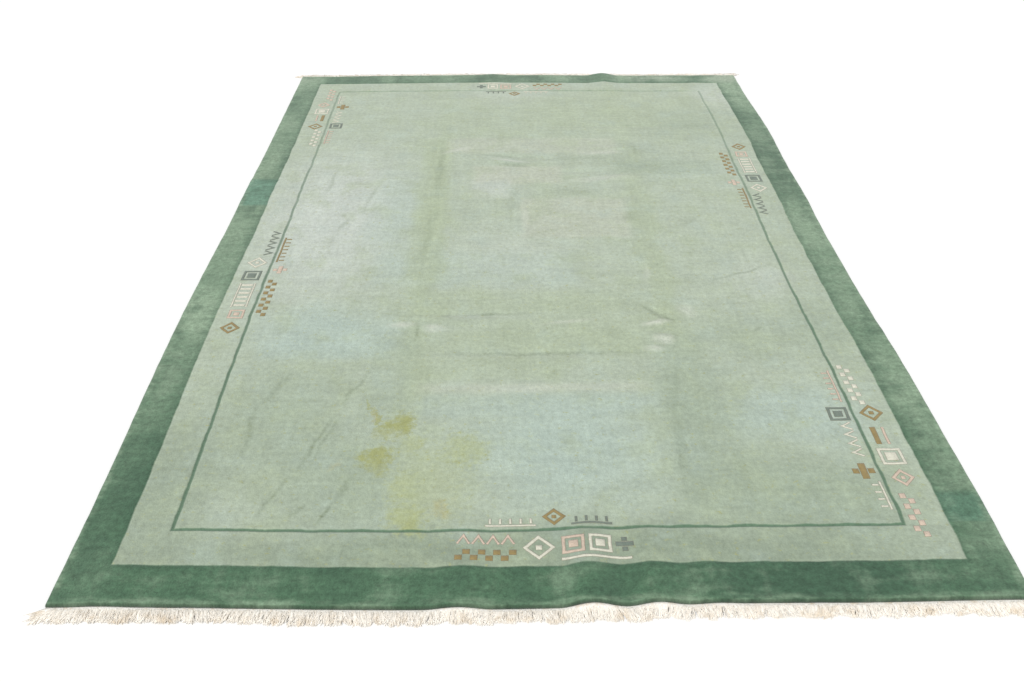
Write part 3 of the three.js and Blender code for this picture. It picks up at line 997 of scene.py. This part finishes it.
def yarn_paths(pile, fringe, end, rng):
    """Middle lines of all yarns of a fringe, as an array of yarns by stations by coordinates."""
    core = core_yarns(fringe)
    count = fringe.locks * fringe.yarns_per_lock
    lock = np.repeat(np.arange(fringe.locks), fringe.yarns_per_lock)
    pitch = pile.width / fringe.locks
    lock_x = -pile.width / 2 + (np.arange(fringe.locks) + 0.5) * pitch
    lock_lean = rng.normal(0.0, LOCK_LEAN, fringe.locks)
    lock_length = 1 - LOCK_SHORTENING * rng.random(fringe.locks)
    lock_length += LOCK_WAVE * waver(lock_x, lock_x, LOCK_WAVELENGTH)
    root_x = lock_x[lock] + pitch * ROOT_SPREAD * rng.uniform(-1, 1, count)
    root_x = np.clip(root_x, fringe.yarn_radius - pile.width / 2, pile.width / 2 - fringe.yarn_radius)
    out, lift = fringe_edge(pile, end, root_x)
    length = fringe.yarn_length * lock_length[lock] * (1 - YARN_SHORTENING * rng.random(count))
    length *= np.where(core, CORE_LENGTH, 1.0)
    lean = lean_at(pile, fringe, root_x) + lock_lean[lock]
    lean += np.where(core, 0.0, rng.normal(0.0, YARN_LEAN, count))
    corner = corner_at(pile, fringe, root_x)
    lean += np.sign(root_x) * fringe.corner_splay * corner * rng.uniform(*SPLAYING, count)
    length *= 1 + CORNER_LENGTHENING * corner
    reach = np.sqrt(np.maximum(length**2 - lean**2, (SHORTEST_REACH * length) ** 2))
    clump = rng.uniform(*CLUMPING, count)
    root_z = lift + fringe.strip_thickness * rng.uniform(*ROOT_HEIGHTS, count)
    rest_z = fringe.yarn_radius + np.where(core, 0.0, YARN_HEAP * rng.random(count))
    arch = YARN_ARCH * rng.random(count)
    curl = np.where(core, 0.0, rng.normal(0.0, YARN_CURL, count))
    phase = rng.uniform(0, 2 * math.pi, count)
    share = YARN_STATIONS[None, :]
    sideways = (clump * (lock_x[lock] - root_x))[:, None] * share**2 + lean[:, None] * share**LEAN_BEND
    sideways += curl[:, None] * np.sin(2 * math.pi * share * CURL_TURNS + phase[:, None]) * share
    fall = (1 - share) ** FALL_BEND
    x = root_x[:, None] + sideways
    y = -(out + fringe.seam + ROOT_DEPTH * fringe.strip_depth)[:, None] - reach[:, None] * share
    z = rest_z[:, None] * (1 - fall) + root_z[:, None] * fall + arch[:, None] * np.sin(math.pi * share)
    return np.stack((x, y, np.maximum(z, fringe.yarn_radius)), axis=2)


def yarn_mesh(pile, fringe, end):
    """All warp ends of a fringe as one mesh of closed, tapered, three-sided yarns."""
    rng = np.random.default_rng(fringe.seed + ENDS[end])
    paths = yarn_paths(pile, fringe, end, rng)
    yarns, stations = paths.shape[:2]
    forward = np.gradient(paths, axis=1)
    forward /= np.linalg.norm(forward, axis=2, keepdims=True)
    side = np.cross(forward, (0.0, 0.0, 1.0))
    side /= np.linalg.norm(side, axis=2, keepdims=True)
    up = np.cross(side, forward)
    angles = 2 * math.pi * np.arange(YARN_SIDES) / YARN_SIDES + math.pi / 2
    core = core_yarns(fringe)[:, None, None, None]
    half_width = np.where(core, CORE_HALF_WIDTH, fringe.yarn_radius)
    half_height = np.where(core, CORE_HALF_HEIGHT, fringe.yarn_radius)
    sideways = half_width * np.cos(angles)[None, None, :, None] * side[:, :, None]
    upwards = half_height * np.sin(angles)[None, None, :, None] * up[:, :, None]
    around = (sideways + upwards) * YARN_TAPER[None, :, None, None]
    points = in_place((paths[:, :, None] + around).reshape(-1, 3), end)
    points[:, 2] = np.maximum(points[:, 2], 0.0)
    index = np.arange(len(points)).reshape(yarns, stations, YARN_SIDES)
    following = np.roll(index, -1, axis=2)
    corners = (index[:, :-1], index[:, 1:], following[:, 1:], following[:, :-1])
    walls = np.stack(corners, axis=3).reshape(-1, 4)
    roots, tips = index[:, 0], index[:, -1, ::-1]
    mesh = bpy.data.meshes.new(f"fringe_yarn_{end}")
    mesh.from_pydata(points.tolist(), [], walls.tolist() + roots.tolist() + tips.tolist())
    tones = np.repeat(rng.random(yarns), stations * YARN_SIDES)
    along = np.tile(np.repeat(YARN_STATIONS, YARN_SIDES), yarns)
    for name, values in (("tone", tones), ("along", along)):
        mesh.attributes.new(name, "FLOAT", "POINT").data.foreach_set("value", values.astype(np.float32))
    bm = bmesh.new()
    bm.from_mesh(mesh)
    bmesh.ops.recalc_face_normals(bm, faces=bm.faces[:])
    bm.to_mesh(mesh)
    bm.free()
    return mesh


# Shader nodes. Those of tones and marks are added after the ones that feed them, since a long chain
# that is added in another order can overrun the renderer's stack

def feed(tree, socket, value):
    """Links an output to a socket, or sets the socket to a plain value."""
    if isinstance(value, bpy.types.NodeSocket):
        tree.links.new(value, socket)
    else:
        socket.default_value = value


def add_node(tree, kind, inputs, **settings):
    """Adds a shader node with its settings, and feeds its inputs, which go by label or by order."""
    node = tree.nodes.new(f"ShaderNode{kind}")
    for name, value in settings.items():
        setattr(node, name, value)
    for label, value in inputs.items():
        feed(tree, node.inputs[label], value)
    return node.outputs


def add_math(tree, operation, *values):
    return add_node(tree, "Math", dict(enumerate(values)), operation=operation)["Value"]


def add_vector_math(tree, operation, *values):
    outputs = add_node(tree, "VectorMath", dict(enumerate(values)), operation=operation)
    return outputs["Value" if operation == "LENGTH" else "Vector"]


def add_range(tree, value, low, high, to_low=0.0, to_high=1.0):
    """Runs smoothly from one value to another as the input goes from low to high."""
    inputs = {"Value": value, "From Min": low, "From Max": high, "To Min": to_low, "To Max": to_high}
    return add_node(tree, "MapRange", inputs, interpolation_type="SMOOTHSTEP")["Result"]


def add_noise(tree, place, scale, detail, roughness=0.5):
    inputs = {"Vector": place, "Scale": scale, "Detail": detail, "Roughness": roughness}
    return add_node(tree, "TexNoise", inputs, noise_dimensions="2D")


def add_mix(tree, share, under, over, way="MIX"):
    """Lays one colour over another."""
    node = tree.nodes.new("ShaderNodeMix")
    node.data_type = "RGBA"
    node.blend_type = way
    sockets = {socket.identifier: socket for socket in node.inputs}
    for label, value in (("Factor_Float", share), ("A_Color", under), ("B_Color", over)):
        feed(tree, sockets[label], value)
    return next(socket for socket in node.outputs if socket.identifier == "Result_Color")


def opaque(colour):
    return (*colour, 1.0)


def dyed(tree, ground, share, colour):
    """Lays a plain colour over a ground."""
    return add_mix(tree, share, ground, opaque(colour))


def shaded(tree, ground, shade):
    return add_mix(tree, 1.0, ground, shade, "MULTIPLY")


def round_one(tree, value, amount):
    """Turns noise into a shade round 1."""
    return add_math(tree, "MULTIPLY_ADD", value, amount, 1.0 - amount / 2)


def add_group(tree, group, **inputs):
    return add_node(tree, "Group", inputs, node_tree=group)


def new_group(name, inputs, outputs):
    """An empty shader node group with named sockets, given as labels with their kinds."""
    tree = bpy.data.node_groups.new(name, "ShaderNodeTree")
    for way, sockets in (("INPUT", inputs), ("OUTPUT", outputs)):
        for label, kind in sockets.items():
            tree.interface.new_socket(label, in_out=way, socket_type=f"NodeSocket{kind}")
    return tree, tree.nodes.new("NodeGroupInput").outputs, tree.nodes.new("NodeGroupOutput").inputs


def wool_grain_group():
    """Knots of pile: a shade round 1 that differs from knot to knot, and the height of the tufts."""
    name = "wool_grain"
    if name in bpy.data.node_groups:
        return bpy.data.node_groups[name]
    knot_share = 0.25
    clumps_per_knot = 0.24
    inputs = {"Place": "Vector", "Knot": "Float", "Contrast": "Float"}
    tree, given, result = new_group(name, inputs, {"Shade": "Float", "Height": "Float"})
    place = given["Place"]
    scale = add_math(tree, "DIVIDE", 1.0, given["Knot"])
    knots = add_node(tree, "TexVoronoi", {"Vector": place, "Scale": scale}, voronoi_dimensions="2D")
    split = add_node(tree, "SeparateColor", {"Color": knots["Color"]})
    clump_scale = add_math(tree, "MULTIPLY", scale, clumps_per_knot)
    clumps = add_noise(tree, place, clump_scale, detail=4.0, roughness=0.62)["Fac"]
    uneven = add_math(tree, "MULTIPLY_ADD", split["Red"], knot_share, clumps)
    centred = add_math(tree, "SUBTRACT", uneven, (knot_share + 1.0) / 2)
    feed(tree, result["Shade"], add_math(tree, "MULTIPLY_ADD", centred, given["Contrast"], 1.0))
    tufts = add_math(tree, "SUBTRACT", 1.0, knots["Distance"])
    feed(tree, result["Height"], add_math(tree, "ADD", tufts, clumps))
    return tree


def soft_mark_group():
    """An oval mark that fades from its strength to 0."""
    name = "soft_mark"
    if name in bpy.data.node_groups:
        return bpy.data.node_groups[name]
    inputs = {"Offset": "Vector", "Half": "Vector", "Strength": "Float"}
    tree, given, result = new_group(name, inputs, {"Mask": "Float"})
    reach = add_vector_math(tree, "LENGTH", add_vector_math(tree, "DIVIDE", given["Offset"], given["Half"]))
    feed(tree, result["Mask"], add_range(tree, reach, 0.0, 1.0, given["Strength"], 0.0))
    return tree


def add_mark(tree, mark, place, strength):
    """The mask of one mark."""
    offset = add_vector_math(tree, "SUBTRACT", place, (mark.x, mark.y, 0.0))
    if mark.turn:
        inputs = {"Vector": offset, "Angle": -math.radians(mark.turn)}
        offset = add_node(tree, "VectorRotate", inputs, rotation_type="Z_AXIS")["Vector"]
    half = (mark.half_x, mark.half_y, 1.0)
    return add_group(tree, soft_mark_group(), Offset=offset, Half=half, Strength=strength)["Mask"]


def frame_distance_group():
    """Distance outwards from a rectangle round the middle, with a slight hand-made sway."""
    name = "frame_distance"
    if name in bpy.data.node_groups:
        return bpy.data.node_groups[name]
    inputs = {"Place": "Vector", "Half": "Vector", "Sway": "Float"}
    tree, given, result = new_group(name, inputs, {"Distance": "Float"})
    from_middle = add_vector_math(tree, "ABSOLUTE", given["Place"])
    past = add_vector_math(tree, "SUBTRACT", from_middle, given["Half"])
    split = add_node(tree, "SeparateXYZ", {"Vector": past})
    distance = add_math(tree, "MAXIMUM", split["X"], split["Y"])
    waves = add_noise(tree, given["Place"], scale=14.0, detail=3.0)["Fac"]
    centred = add_math(tree, "SUBTRACT", waves, 0.5)
    feed(tree, result["Distance"], add_math(tree, "MULTIPLY_ADD", centred, given["Sway"], distance))
    return tree


def new_material(name, roughness, sheen):
    """A material with a cloth-like Principled shader, its node tree and that shader."""
    material = bpy.data.materials.new(name)
    material.use_nodes = True
    tree = material.node_tree
    shader = next(node for node in tree.nodes if node.type == "BSDF_PRINCIPLED")
    cloth = {"Roughness": roughness, "Specular IOR Level": 0.1}
    nap = {"Sheen Weight": sheen, "Sheen Roughness": 0.5}
    for label, value in (cloth | nap).items():
        shader.inputs[label].default_value = value
    return material, tree, shader


def read_attribute(tree, name, output="Vector"):
    return add_node(tree, "Attribute", {}, attribute_name=name)[output]


def object_place(tree):
    return add_node(tree, "TexCoord", {})["Object"]


def add_bump(tree, shader, height, strength, distance):
    inputs = {"Strength": strength, "Distance": distance, "Height": height}
    feed(tree, shader.inputs["Normal"], add_node(tree, "Bump", inputs)["Normal"])


def frame_mask(tree, pile, place, inset, sway, low, high, half_width=None):
    """0 to 1 as the distance from a frame in the rug goes from low to high, or a line of a half width."""
    half = (pile.width / 2 - inset, pile.length / 2 - inset, 0.0)
    distance = add_group(tree, frame_distance_group(), Place=place, Half=half, Sway=sway)["Distance"]
    if half_width is not None:
        distance = add_math(tree, "SUBTRACT", half_width, add_math(tree, "ABSOLUTE", distance))
    return add_range(tree, distance, low, high)


def stretched(tree, place, across, along, shift=(0.0, 0.0, 0.0)):
    """Places with other measures across and along the rug, for patterns that run in rows."""
    return add_vector_math(tree, "MULTIPLY_ADD", place, (across, along, 1.0), shift)


def add_warp(tree, place, scale, amount):
    """Places shifted about by smooth noise."""
    clouds = add_noise(tree, place, scale, detail=4.0, roughness=0.6)["Color"]
    centred = add_vector_math(tree, "SUBTRACT", clouds, (0.5, 0.5, 0.5))
    return add_vector_math(tree, "MULTIPLY_ADD", centred, (amount, amount, 0.0), place)


# How far the hand-made outlines of the border and the line sway, on the pile and on the back
BORDER_SWAY = 0.008
LINE_SWAY = 0.009
BACK_SWAY = 0.004


def lay_marks(tree, colours, ground, place):
    """Lays stains, then dark streaks and the painted shade and highlights of creases, over a ground; both
    fray along the rows of knots.
    """
    rows = stretched(tree, place, 0.75, 1.0)
    fibres = add_noise(tree, rows, scale=75.0, detail=6.0, roughness=0.75)["Fac"]
    frayed = add_math(tree, "SUBTRACT", fibres, 0.5)
    torn = add_warp(tree, place, scale=20.0, amount=0.07)
    for tone, marks in STAINS.items():
        for mark in marks:
            outline = add_math(tree, "MULTIPLY_ADD", frayed, 1.5, add_mark(tree, mark, torn, 1.0))
            share = add_range(tree, outline, 0.12, 0.95, to_high=mark.strength)
            ground = dyed(tree, ground, share, getattr(colours, tone))
    # Dark streaks and painted shade in the troughs of creases, then painted highlights, partly wear, on
    # their crests
    bent = add_warp(tree, place, scale=11.0, amount=0.03)
    broken = add_math(tree, "MULTIPLY_ADD", frayed, 2.4, 1.0)
    for tone, marks in CREASE_MARKS.items():
        total = 0.0
        for mark in marks:
            total = add_math(tree, "MAXIMUM", add_mark(tree, mark, bent, mark.strength), total)
        ground = dyed(tree, ground, add_math(tree, "MULTIPLY", total, broken), getattr(colours, tone))
    return ground


def add_threads(tree, place, scale, amount):
    """A shade round 1 that runs in threads, along or across the rug as the places are stretched."""
    return round_one(tree, add_noise(tree, place, scale, detail=3.0, roughness=0.65)["Fac"], amount)


def mottled(tree, colours, ground, place):
    """Lays soft clouds of bluish and yellowish wool over a ground, and lighter and darker threads."""
    clouds = add_noise(tree, place, scale=9.0, detail=4.0, roughness=0.6)["Fac"]
    ground = dyed(tree, ground, add_range(tree, clouds, 0.52, 0.75, to_high=0.26), colours.mist)
    ground = dyed(tree, ground, add_range(tree, clouds, 0.52, 0.28, to_high=0.45), colours.moss)
    blotch_place = stretched(tree, place, 0.6, 1.0, (5.0, 3.0, 0.0))
    blotches = add_noise(tree, blotch_place, scale=15.0, detail=5.0, roughness=0.65)["Fac"]
    shade = round_one(tree, blotches, 0.28)
    wefts = add_threads(tree, stretched(tree, place, 0.12, 1.0), scale=60.0, amount=0.20)
    shade = add_math(tree, "MULTIPLY", shade, wefts)
    warps = add_threads(tree, stretched(tree, place, 1.0, 0.10), scale=42.0, amount=0.16)
    return shaded(tree, ground, add_math(tree, "MULTIPLY", shade, warps))


def brushed(tree, pile, colours, ground, place):
    """Paints the sheen and shade of the border's nap in soft bands along and across the rows, darkens it
    along the field and lightens its outer edge.
    """
    rows = add_noise(tree, stretched(tree, place, 0.25, 1.0), scale=24.0, detail=4.0, roughness=0.6)["Fac"]
    cloud_place = stretched(tree, place, 1.0, 0.35, (2.0, 7.0, 0.0))
    clouds = add_noise(tree, cloud_place, scale=8.0, detail=4.0, roughness=0.6)["Fac"]
    nap = add_math(tree, "MULTIPLY_ADD", rows, 0.6, clouds)
    # Painted sheen and shade of the nap, in soft bands
    ground = dyed(tree, ground, add_range(tree, nap, 0.78, 1.08, to_high=0.38), colours.sheen)
    ground = dyed(tree, ground, add_range(tree, nap, 0.83, 0.54, to_high=0.62), colours.shade_and_dark_dye)
    # A darker band along the field's edge, in the colour of the painted nap shade
    inner = frame_mask(tree, pile, place, pile.border_width, BORDER_SWAY, low=0.022, high=0.002)
    ground = dyed(tree, ground, add_math(tree, "MULTIPLY", inner, 0.32), colours.shade_and_dark_dye)
    # A lighter ragged band along the outer edge, in the colour of the painted sheen
    outer = frame_mask(tree, pile, place, inset=0.0, sway=0.026, low=-0.020, high=-0.005)
    wear_and_highlight = add_math(tree, "MULTIPLY", outer, add_range(tree, rows, 0.38, 0.62, 0.10, 0.50))
    ground = dyed(tree, ground, wear_and_highlight, colours.sheen)
    tuft_rows = stretched(tree, place, 0.55, 1.0)
    tufts = add_noise(tree, tuft_rows, scale=60.0, detail=6.0, roughness=0.7)["Fac"]
    return shaded(tree, ground, add_math(tree, "MULTIPLY_ADD", tufts, 0.7, 0.67))


def pile_material(rug):
    """Dyed wool pile: mottled field with painted crease shade and highlights, border with painted nap sheen
    and shade, dark line, painted shade down its sides, and the grain of its knots.
    """
    pile, colours = rug.pile, rug.colours
    material, tree, shader = new_material("wool_pile", roughness=0.95, sheen=0.30)
    place = read_attribute(tree, "flat")
    field = mottled(tree, colours, read_attribute(tree, "field_tone"), place)
    field = lay_marks(tree, colours, field, place)
    border = brushed(tree, pile, colours, read_attribute(tree, "border_tone"), place)
    in_border = frame_mask(tree, pile, place, pile.border_width, BORDER_SWAY, low=-0.0025, high=0.0025)
    ground = add_mix(tree, in_border, field, border)
    line_half = pile.line_width / 2
    on_line = frame_mask(tree, pile, place, pile.line_inset, LINE_SWAY, -0.0022, 0.0019, line_half)
    split = add_node(tree, "SeparateXYZ", {"Vector": place})
    clear = add_range(tree, split["Y"], -0.9, 1.3, 0.92, 0.44)
    ground = dyed(tree, ground, add_math(tree, "MULTIPLY", on_line, clear), colours.line)

    contrast = add_math(tree, "MULTIPLY_ADD", in_border, 0.38, 0.44)
    grain = add_group(tree, wool_grain_group(), Place=place, Knot=pile.knot, Contrast=contrast)
    ground = shaded(tree, ground, grain["Shade"])
    # Painted shade on the pile's rounded rim and down its sides, darkening them to half
    depth = add_range(tree, read_attribute(tree, "wall_shade", "Fac"), 0.04, 0.32, 1.0, 0.50)
    feed(tree, shader.inputs["Base Color"], shaded(tree, ground, depth))
    add_bump(tree, shader, grain["Height"], strength=0.35, distance=0.0015)
    return material


def inlay_material(rug, yarn):
    """Dyed wool of the ornaments, with painted shade in the carved groove round them and on their rims."""
    material, tree, shader = new_material(f"wool_{yarn}", roughness=0.95, sheen=0.25)
    place = object_place(tree)
    rim = read_attribute(tree, "rim", "Fac")
    # Painted shade in the carved groove round the ornaments
    trench_shade = add_range(tree, rim, 0.30, 0.75, 0.75, 0.0)
    grain = add_group(tree, wool_grain_group(), Place=place, Knot=rug.pile.knot, Contrast=0.45)
    wool = shaded(tree, opaque(getattr(rug.colours, yarn)), grain["Shade"])
    # Painted shade on the slopes of the rims
    wool = shaded(tree, wool, add_range(tree, rim, 0.50, 1.0, 0.85, 1.0))
    feed(tree, shader.inputs["Base Color"], dyed(tree, wool, trench_shade, rug.colours.trench_shade))
    add_bump(tree, shader, grain["Height"], strength=0.5, distance=0.0012)
    return material


def back_material(rug):
    """The knotted back, which shows the field, border and line as rows of small knots."""
    pile, colours = rug.pile, rug.colours
    material, tree, shader = new_material("knotted_back", roughness=0.95, sheen=0.1)
    place = read_attribute(tree, "flat")
    in_border = frame_mask(tree, pile, place, pile.border_width, BACK_SWAY, low=-0.0012, high=0.0012)
    ground = dyed(tree, opaque(colours.field), in_border, colours.border)
    line_half = pile.line_width / 2
    on_line = frame_mask(tree, pile, place, pile.line_inset, BACK_SWAY, -0.001, 0.001, line_half)
    ground = dyed(tree, ground, on_line, colours.line)
    grain = add_group(tree, wool_grain_group(), Place=place, Knot=pile.knot, Contrast=0.25)
    feed(tree, shader.inputs["Base Color"], shaded(tree, ground, grain["Shade"]))
    add_bump(tree, shader, grain["Height"], strength=0.8, distance=0.001)
    return material


def strip_material(rug):
    """Plain-woven undyed cotton."""
    material, tree, shader = new_material("woven_cotton", roughness=0.9, sheen=0.15)
    place = read_attribute(tree, "flat")
    waves = []
    for direction, scale in (("X", 160.0), ("Y", 220.0)):
        inputs = {"Vector": place, "Scale": scale, "Distortion": 1.2}
        waves.append(add_node(tree, "TexWave", inputs, bands_direction=direction)["Fac"])
    weave = add_math(tree, "MULTIPLY", *waves)
    wear_and_highlight = add_range(tree, add_noise(tree, place, scale=60.0, detail=3.0, roughness=0.6)["Fac"], 0.45, 0.8)
    colour = dyed(tree, opaque(rug.colours.yarn), wear_and_highlight, rug.colours.yarn_dull)
    shade = add_math(tree, "MULTIPLY_ADD", weave, 0.2, 0.88)
    feed(tree, shader.inputs["Base Color"], shaded(tree, colour, shade))
    add_bump(tree, shader, weave, strength=0.7, distance=0.0008)
    return material


def yarn_material(rug):
    """Undyed cotton yarn, which differs from end to end and is soiled towards its tips."""
    material, tree, shader = new_material("cotton_yarn", roughness=0.9, sheen=0.2)
    tone = read_attribute(tree, "tone", "Fac")
    along = read_attribute(tree, "along", "Fac")
    soil = add_noise(tree, object_place(tree), scale=22.0, detail=4.0, roughness=0.65)["Fac"]
    soil = add_range(tree, soil, 0.42, 0.75)
    dirt = add_math(tree, "MULTIPLY", soil, add_range(tree, along, 0.1, 1.0, 0.25, 1.0))
    dull = add_math(tree, "MULTIPLY_ADD", tone, 0.35, add_math(tree, "MULTIPLY", dirt, 0.75))
    colour = dyed(tree, opaque(rug.colours.yarn), dull, rug.colours.yarn_dull)
    feed(tree, shader.inputs["Base Color"], colour)
    return material


# Operators

class RUG_OT_pile(bpy.types.Operator):
    """Knot the pile, with its carved line, creases and ripples, and the knotted back under it"""

    bl_idname = "rug.pile"
    bl_label = "Pile and back"

    def execute(self, context):
        rug = context.scene.nepalese_rug
        pile = rug.pile
        sheet = new_piece("pile", pile_mesh(pile, rug.colours), pile_material(rug), ("pile_rug",))
        columns = grid_lines(((pile.width / 2 - BACK_INSET, BACK_STEP),))
        rows = grid_lines(((pile.length / 2 - BACK_INSET, BACK_STEP),))
        back = slab_mesh(pile, "knotted_back", columns, rows, pile.back_thickness)
        new_piece("knotted_back", back, back_material(rug))
        return {"FINISHED"}


class RUG_OT_ornaments(bpy.types.Operator):
    """Inlay the ornaments along the carved line, one piece for each colour of yarn"""

    bl_idname = "rug.ornaments"
    bl_label = "Ornaments"

    def execute(self, context):
        rug = context.scene.nepalese_rug
        for yarn in ("ivory", "pink", "ochre", "grey"):
            new_piece(f"inlay_{yarn}", inlay_mesh(rug.pile, yarn), inlay_material(rug, yarn))
        return {"FINISHED"}


class RUG_OT_fringes(bpy.types.Operator):
    """Weave the strip at each end of the rug and lay out its warp ends"""

    bl_idname = "rug.fringes"
    bl_label = "Fringes"

    def execute(self, context):
        rug = context.scene.nepalese_rug
        woven, yarn = strip_material(rug), yarn_material(rug)
        for end in ENDS:
            new_piece(f"woven_strip_{end}", strip_mesh(rug.pile, rug.fringe, end), woven)
            strands = yarn_mesh(rug.pile, rug.fringe, end)
            new_piece(f"fringe_yarn_{end}", strands, yarn, (f"fringe_{end}",))
        return {"FINISHED"}


class RUG_OT_stage(bpy.types.Operator):
    """Set up the floor, the soft light and the camera"""

    bl_idname = "rug.stage"
    bl_label = "Stage"

    def execute(self, context):
        scene, stage = context.scene, context.scene.nepalese_rug.stage
        bm = bmesh.new()
        bmesh.ops.create_grid(bm, x_segments=1, y_segments=1, size=stage.floor_size / 2)
        floor = bpy.data.objects.new("floor", mesh_from(bm, "floor"))
        floor.location.z = -FLOOR_DROP
        material, _, shader = new_material("floor", 0.9, 0.0)
        shader.inputs["Base Color"].default_value = opaque(stage.floor_colour)
        floor.data.materials.append(material)
        scene.collection.objects.link(floor)

        world = bpy.data.worlds.new("studio")
        world.use_nodes = True
        sky = next(node for node in world.node_tree.nodes if node.type == "BACKGROUND")
        sky.inputs["Color"].default_value = (1.0, 1.0, 1.0, 1.0)
        sky.inputs["Strength"].default_value = stage.sky
        scene.world = world

        lamp = bpy.data.objects.new("lamp", bpy.data.lights.new("lamp", "SUN"))
        lamp.data.energy = stage.lamp_strength
        lamp.data.angle = stage.lamp_softness
        lamp.rotation_euler = (-Vector(stage.lamp_from)).to_track_quat("-Z", "Y").to_euler()
        scene.collection.objects.link(lamp)

        camera = bpy.data.objects.new("camera", bpy.data.cameras.new("camera"))
        camera.data.lens = stage.lens
        camera.location = stage.camera_place
        camera.rotation_euler = (stage.camera_pitch, 0.0, stage.camera_heading)
        scene.collection.objects.link(camera)
        scene.camera = camera
        scene.view_settings.view_transform = "Standard"
        return {"FINISHED"}


class RUG_PT_panel(bpy.types.Panel):
    """Buttons and sizes of the rug"""

    bl_idname = "RUG_PT_panel"
    bl_label = "Nepalese rug"
    bl_space_type = "VIEW_3D"
    bl_region_type = "UI"
    bl_category = "Rug"

    def draw(self, context):
        for operator in OPERATORS:
            self.layout.operator(operator.bl_idname)
        for group in ("pile", "fringe", "colours", "stage"):
            settings = getattr(context.scene.nepalese_rug, group)
            column = self.layout.box().column()
            for name in settings.__annotations__:
                column.prop(settings, name)


OPERATORS = (RUG_OT_ornaments, RUG_OT_fringes, RUG_OT_pile, RUG_OT_stage)
CLASSES = (
    RugPileSettings,
    RugFringeSettings,
    RugColourSettings,
    RugStageSettings,
    RugSettings,
    *OPERATORS,
    RUG_PT_panel,
)


def register():
    for cls in CLASSES:
        bpy.utils.register_class(cls)
    bpy.types.Scene.nepalese_rug = bpy.props.PointerProperty(type=RugSettings)


def unregister():
    del bpy.types.Scene.nepalese_rug
    for cls in reversed(CLASSES):
        bpy.utils.unregister_class(cls)


def main():
    register()
    bpy.ops.rug.ornaments()
    bpy.ops.rug.fringes()
    bpy.ops.rug.pile()
    bpy.ops.rug.stage()


if __name__ == "__main__":
    main()
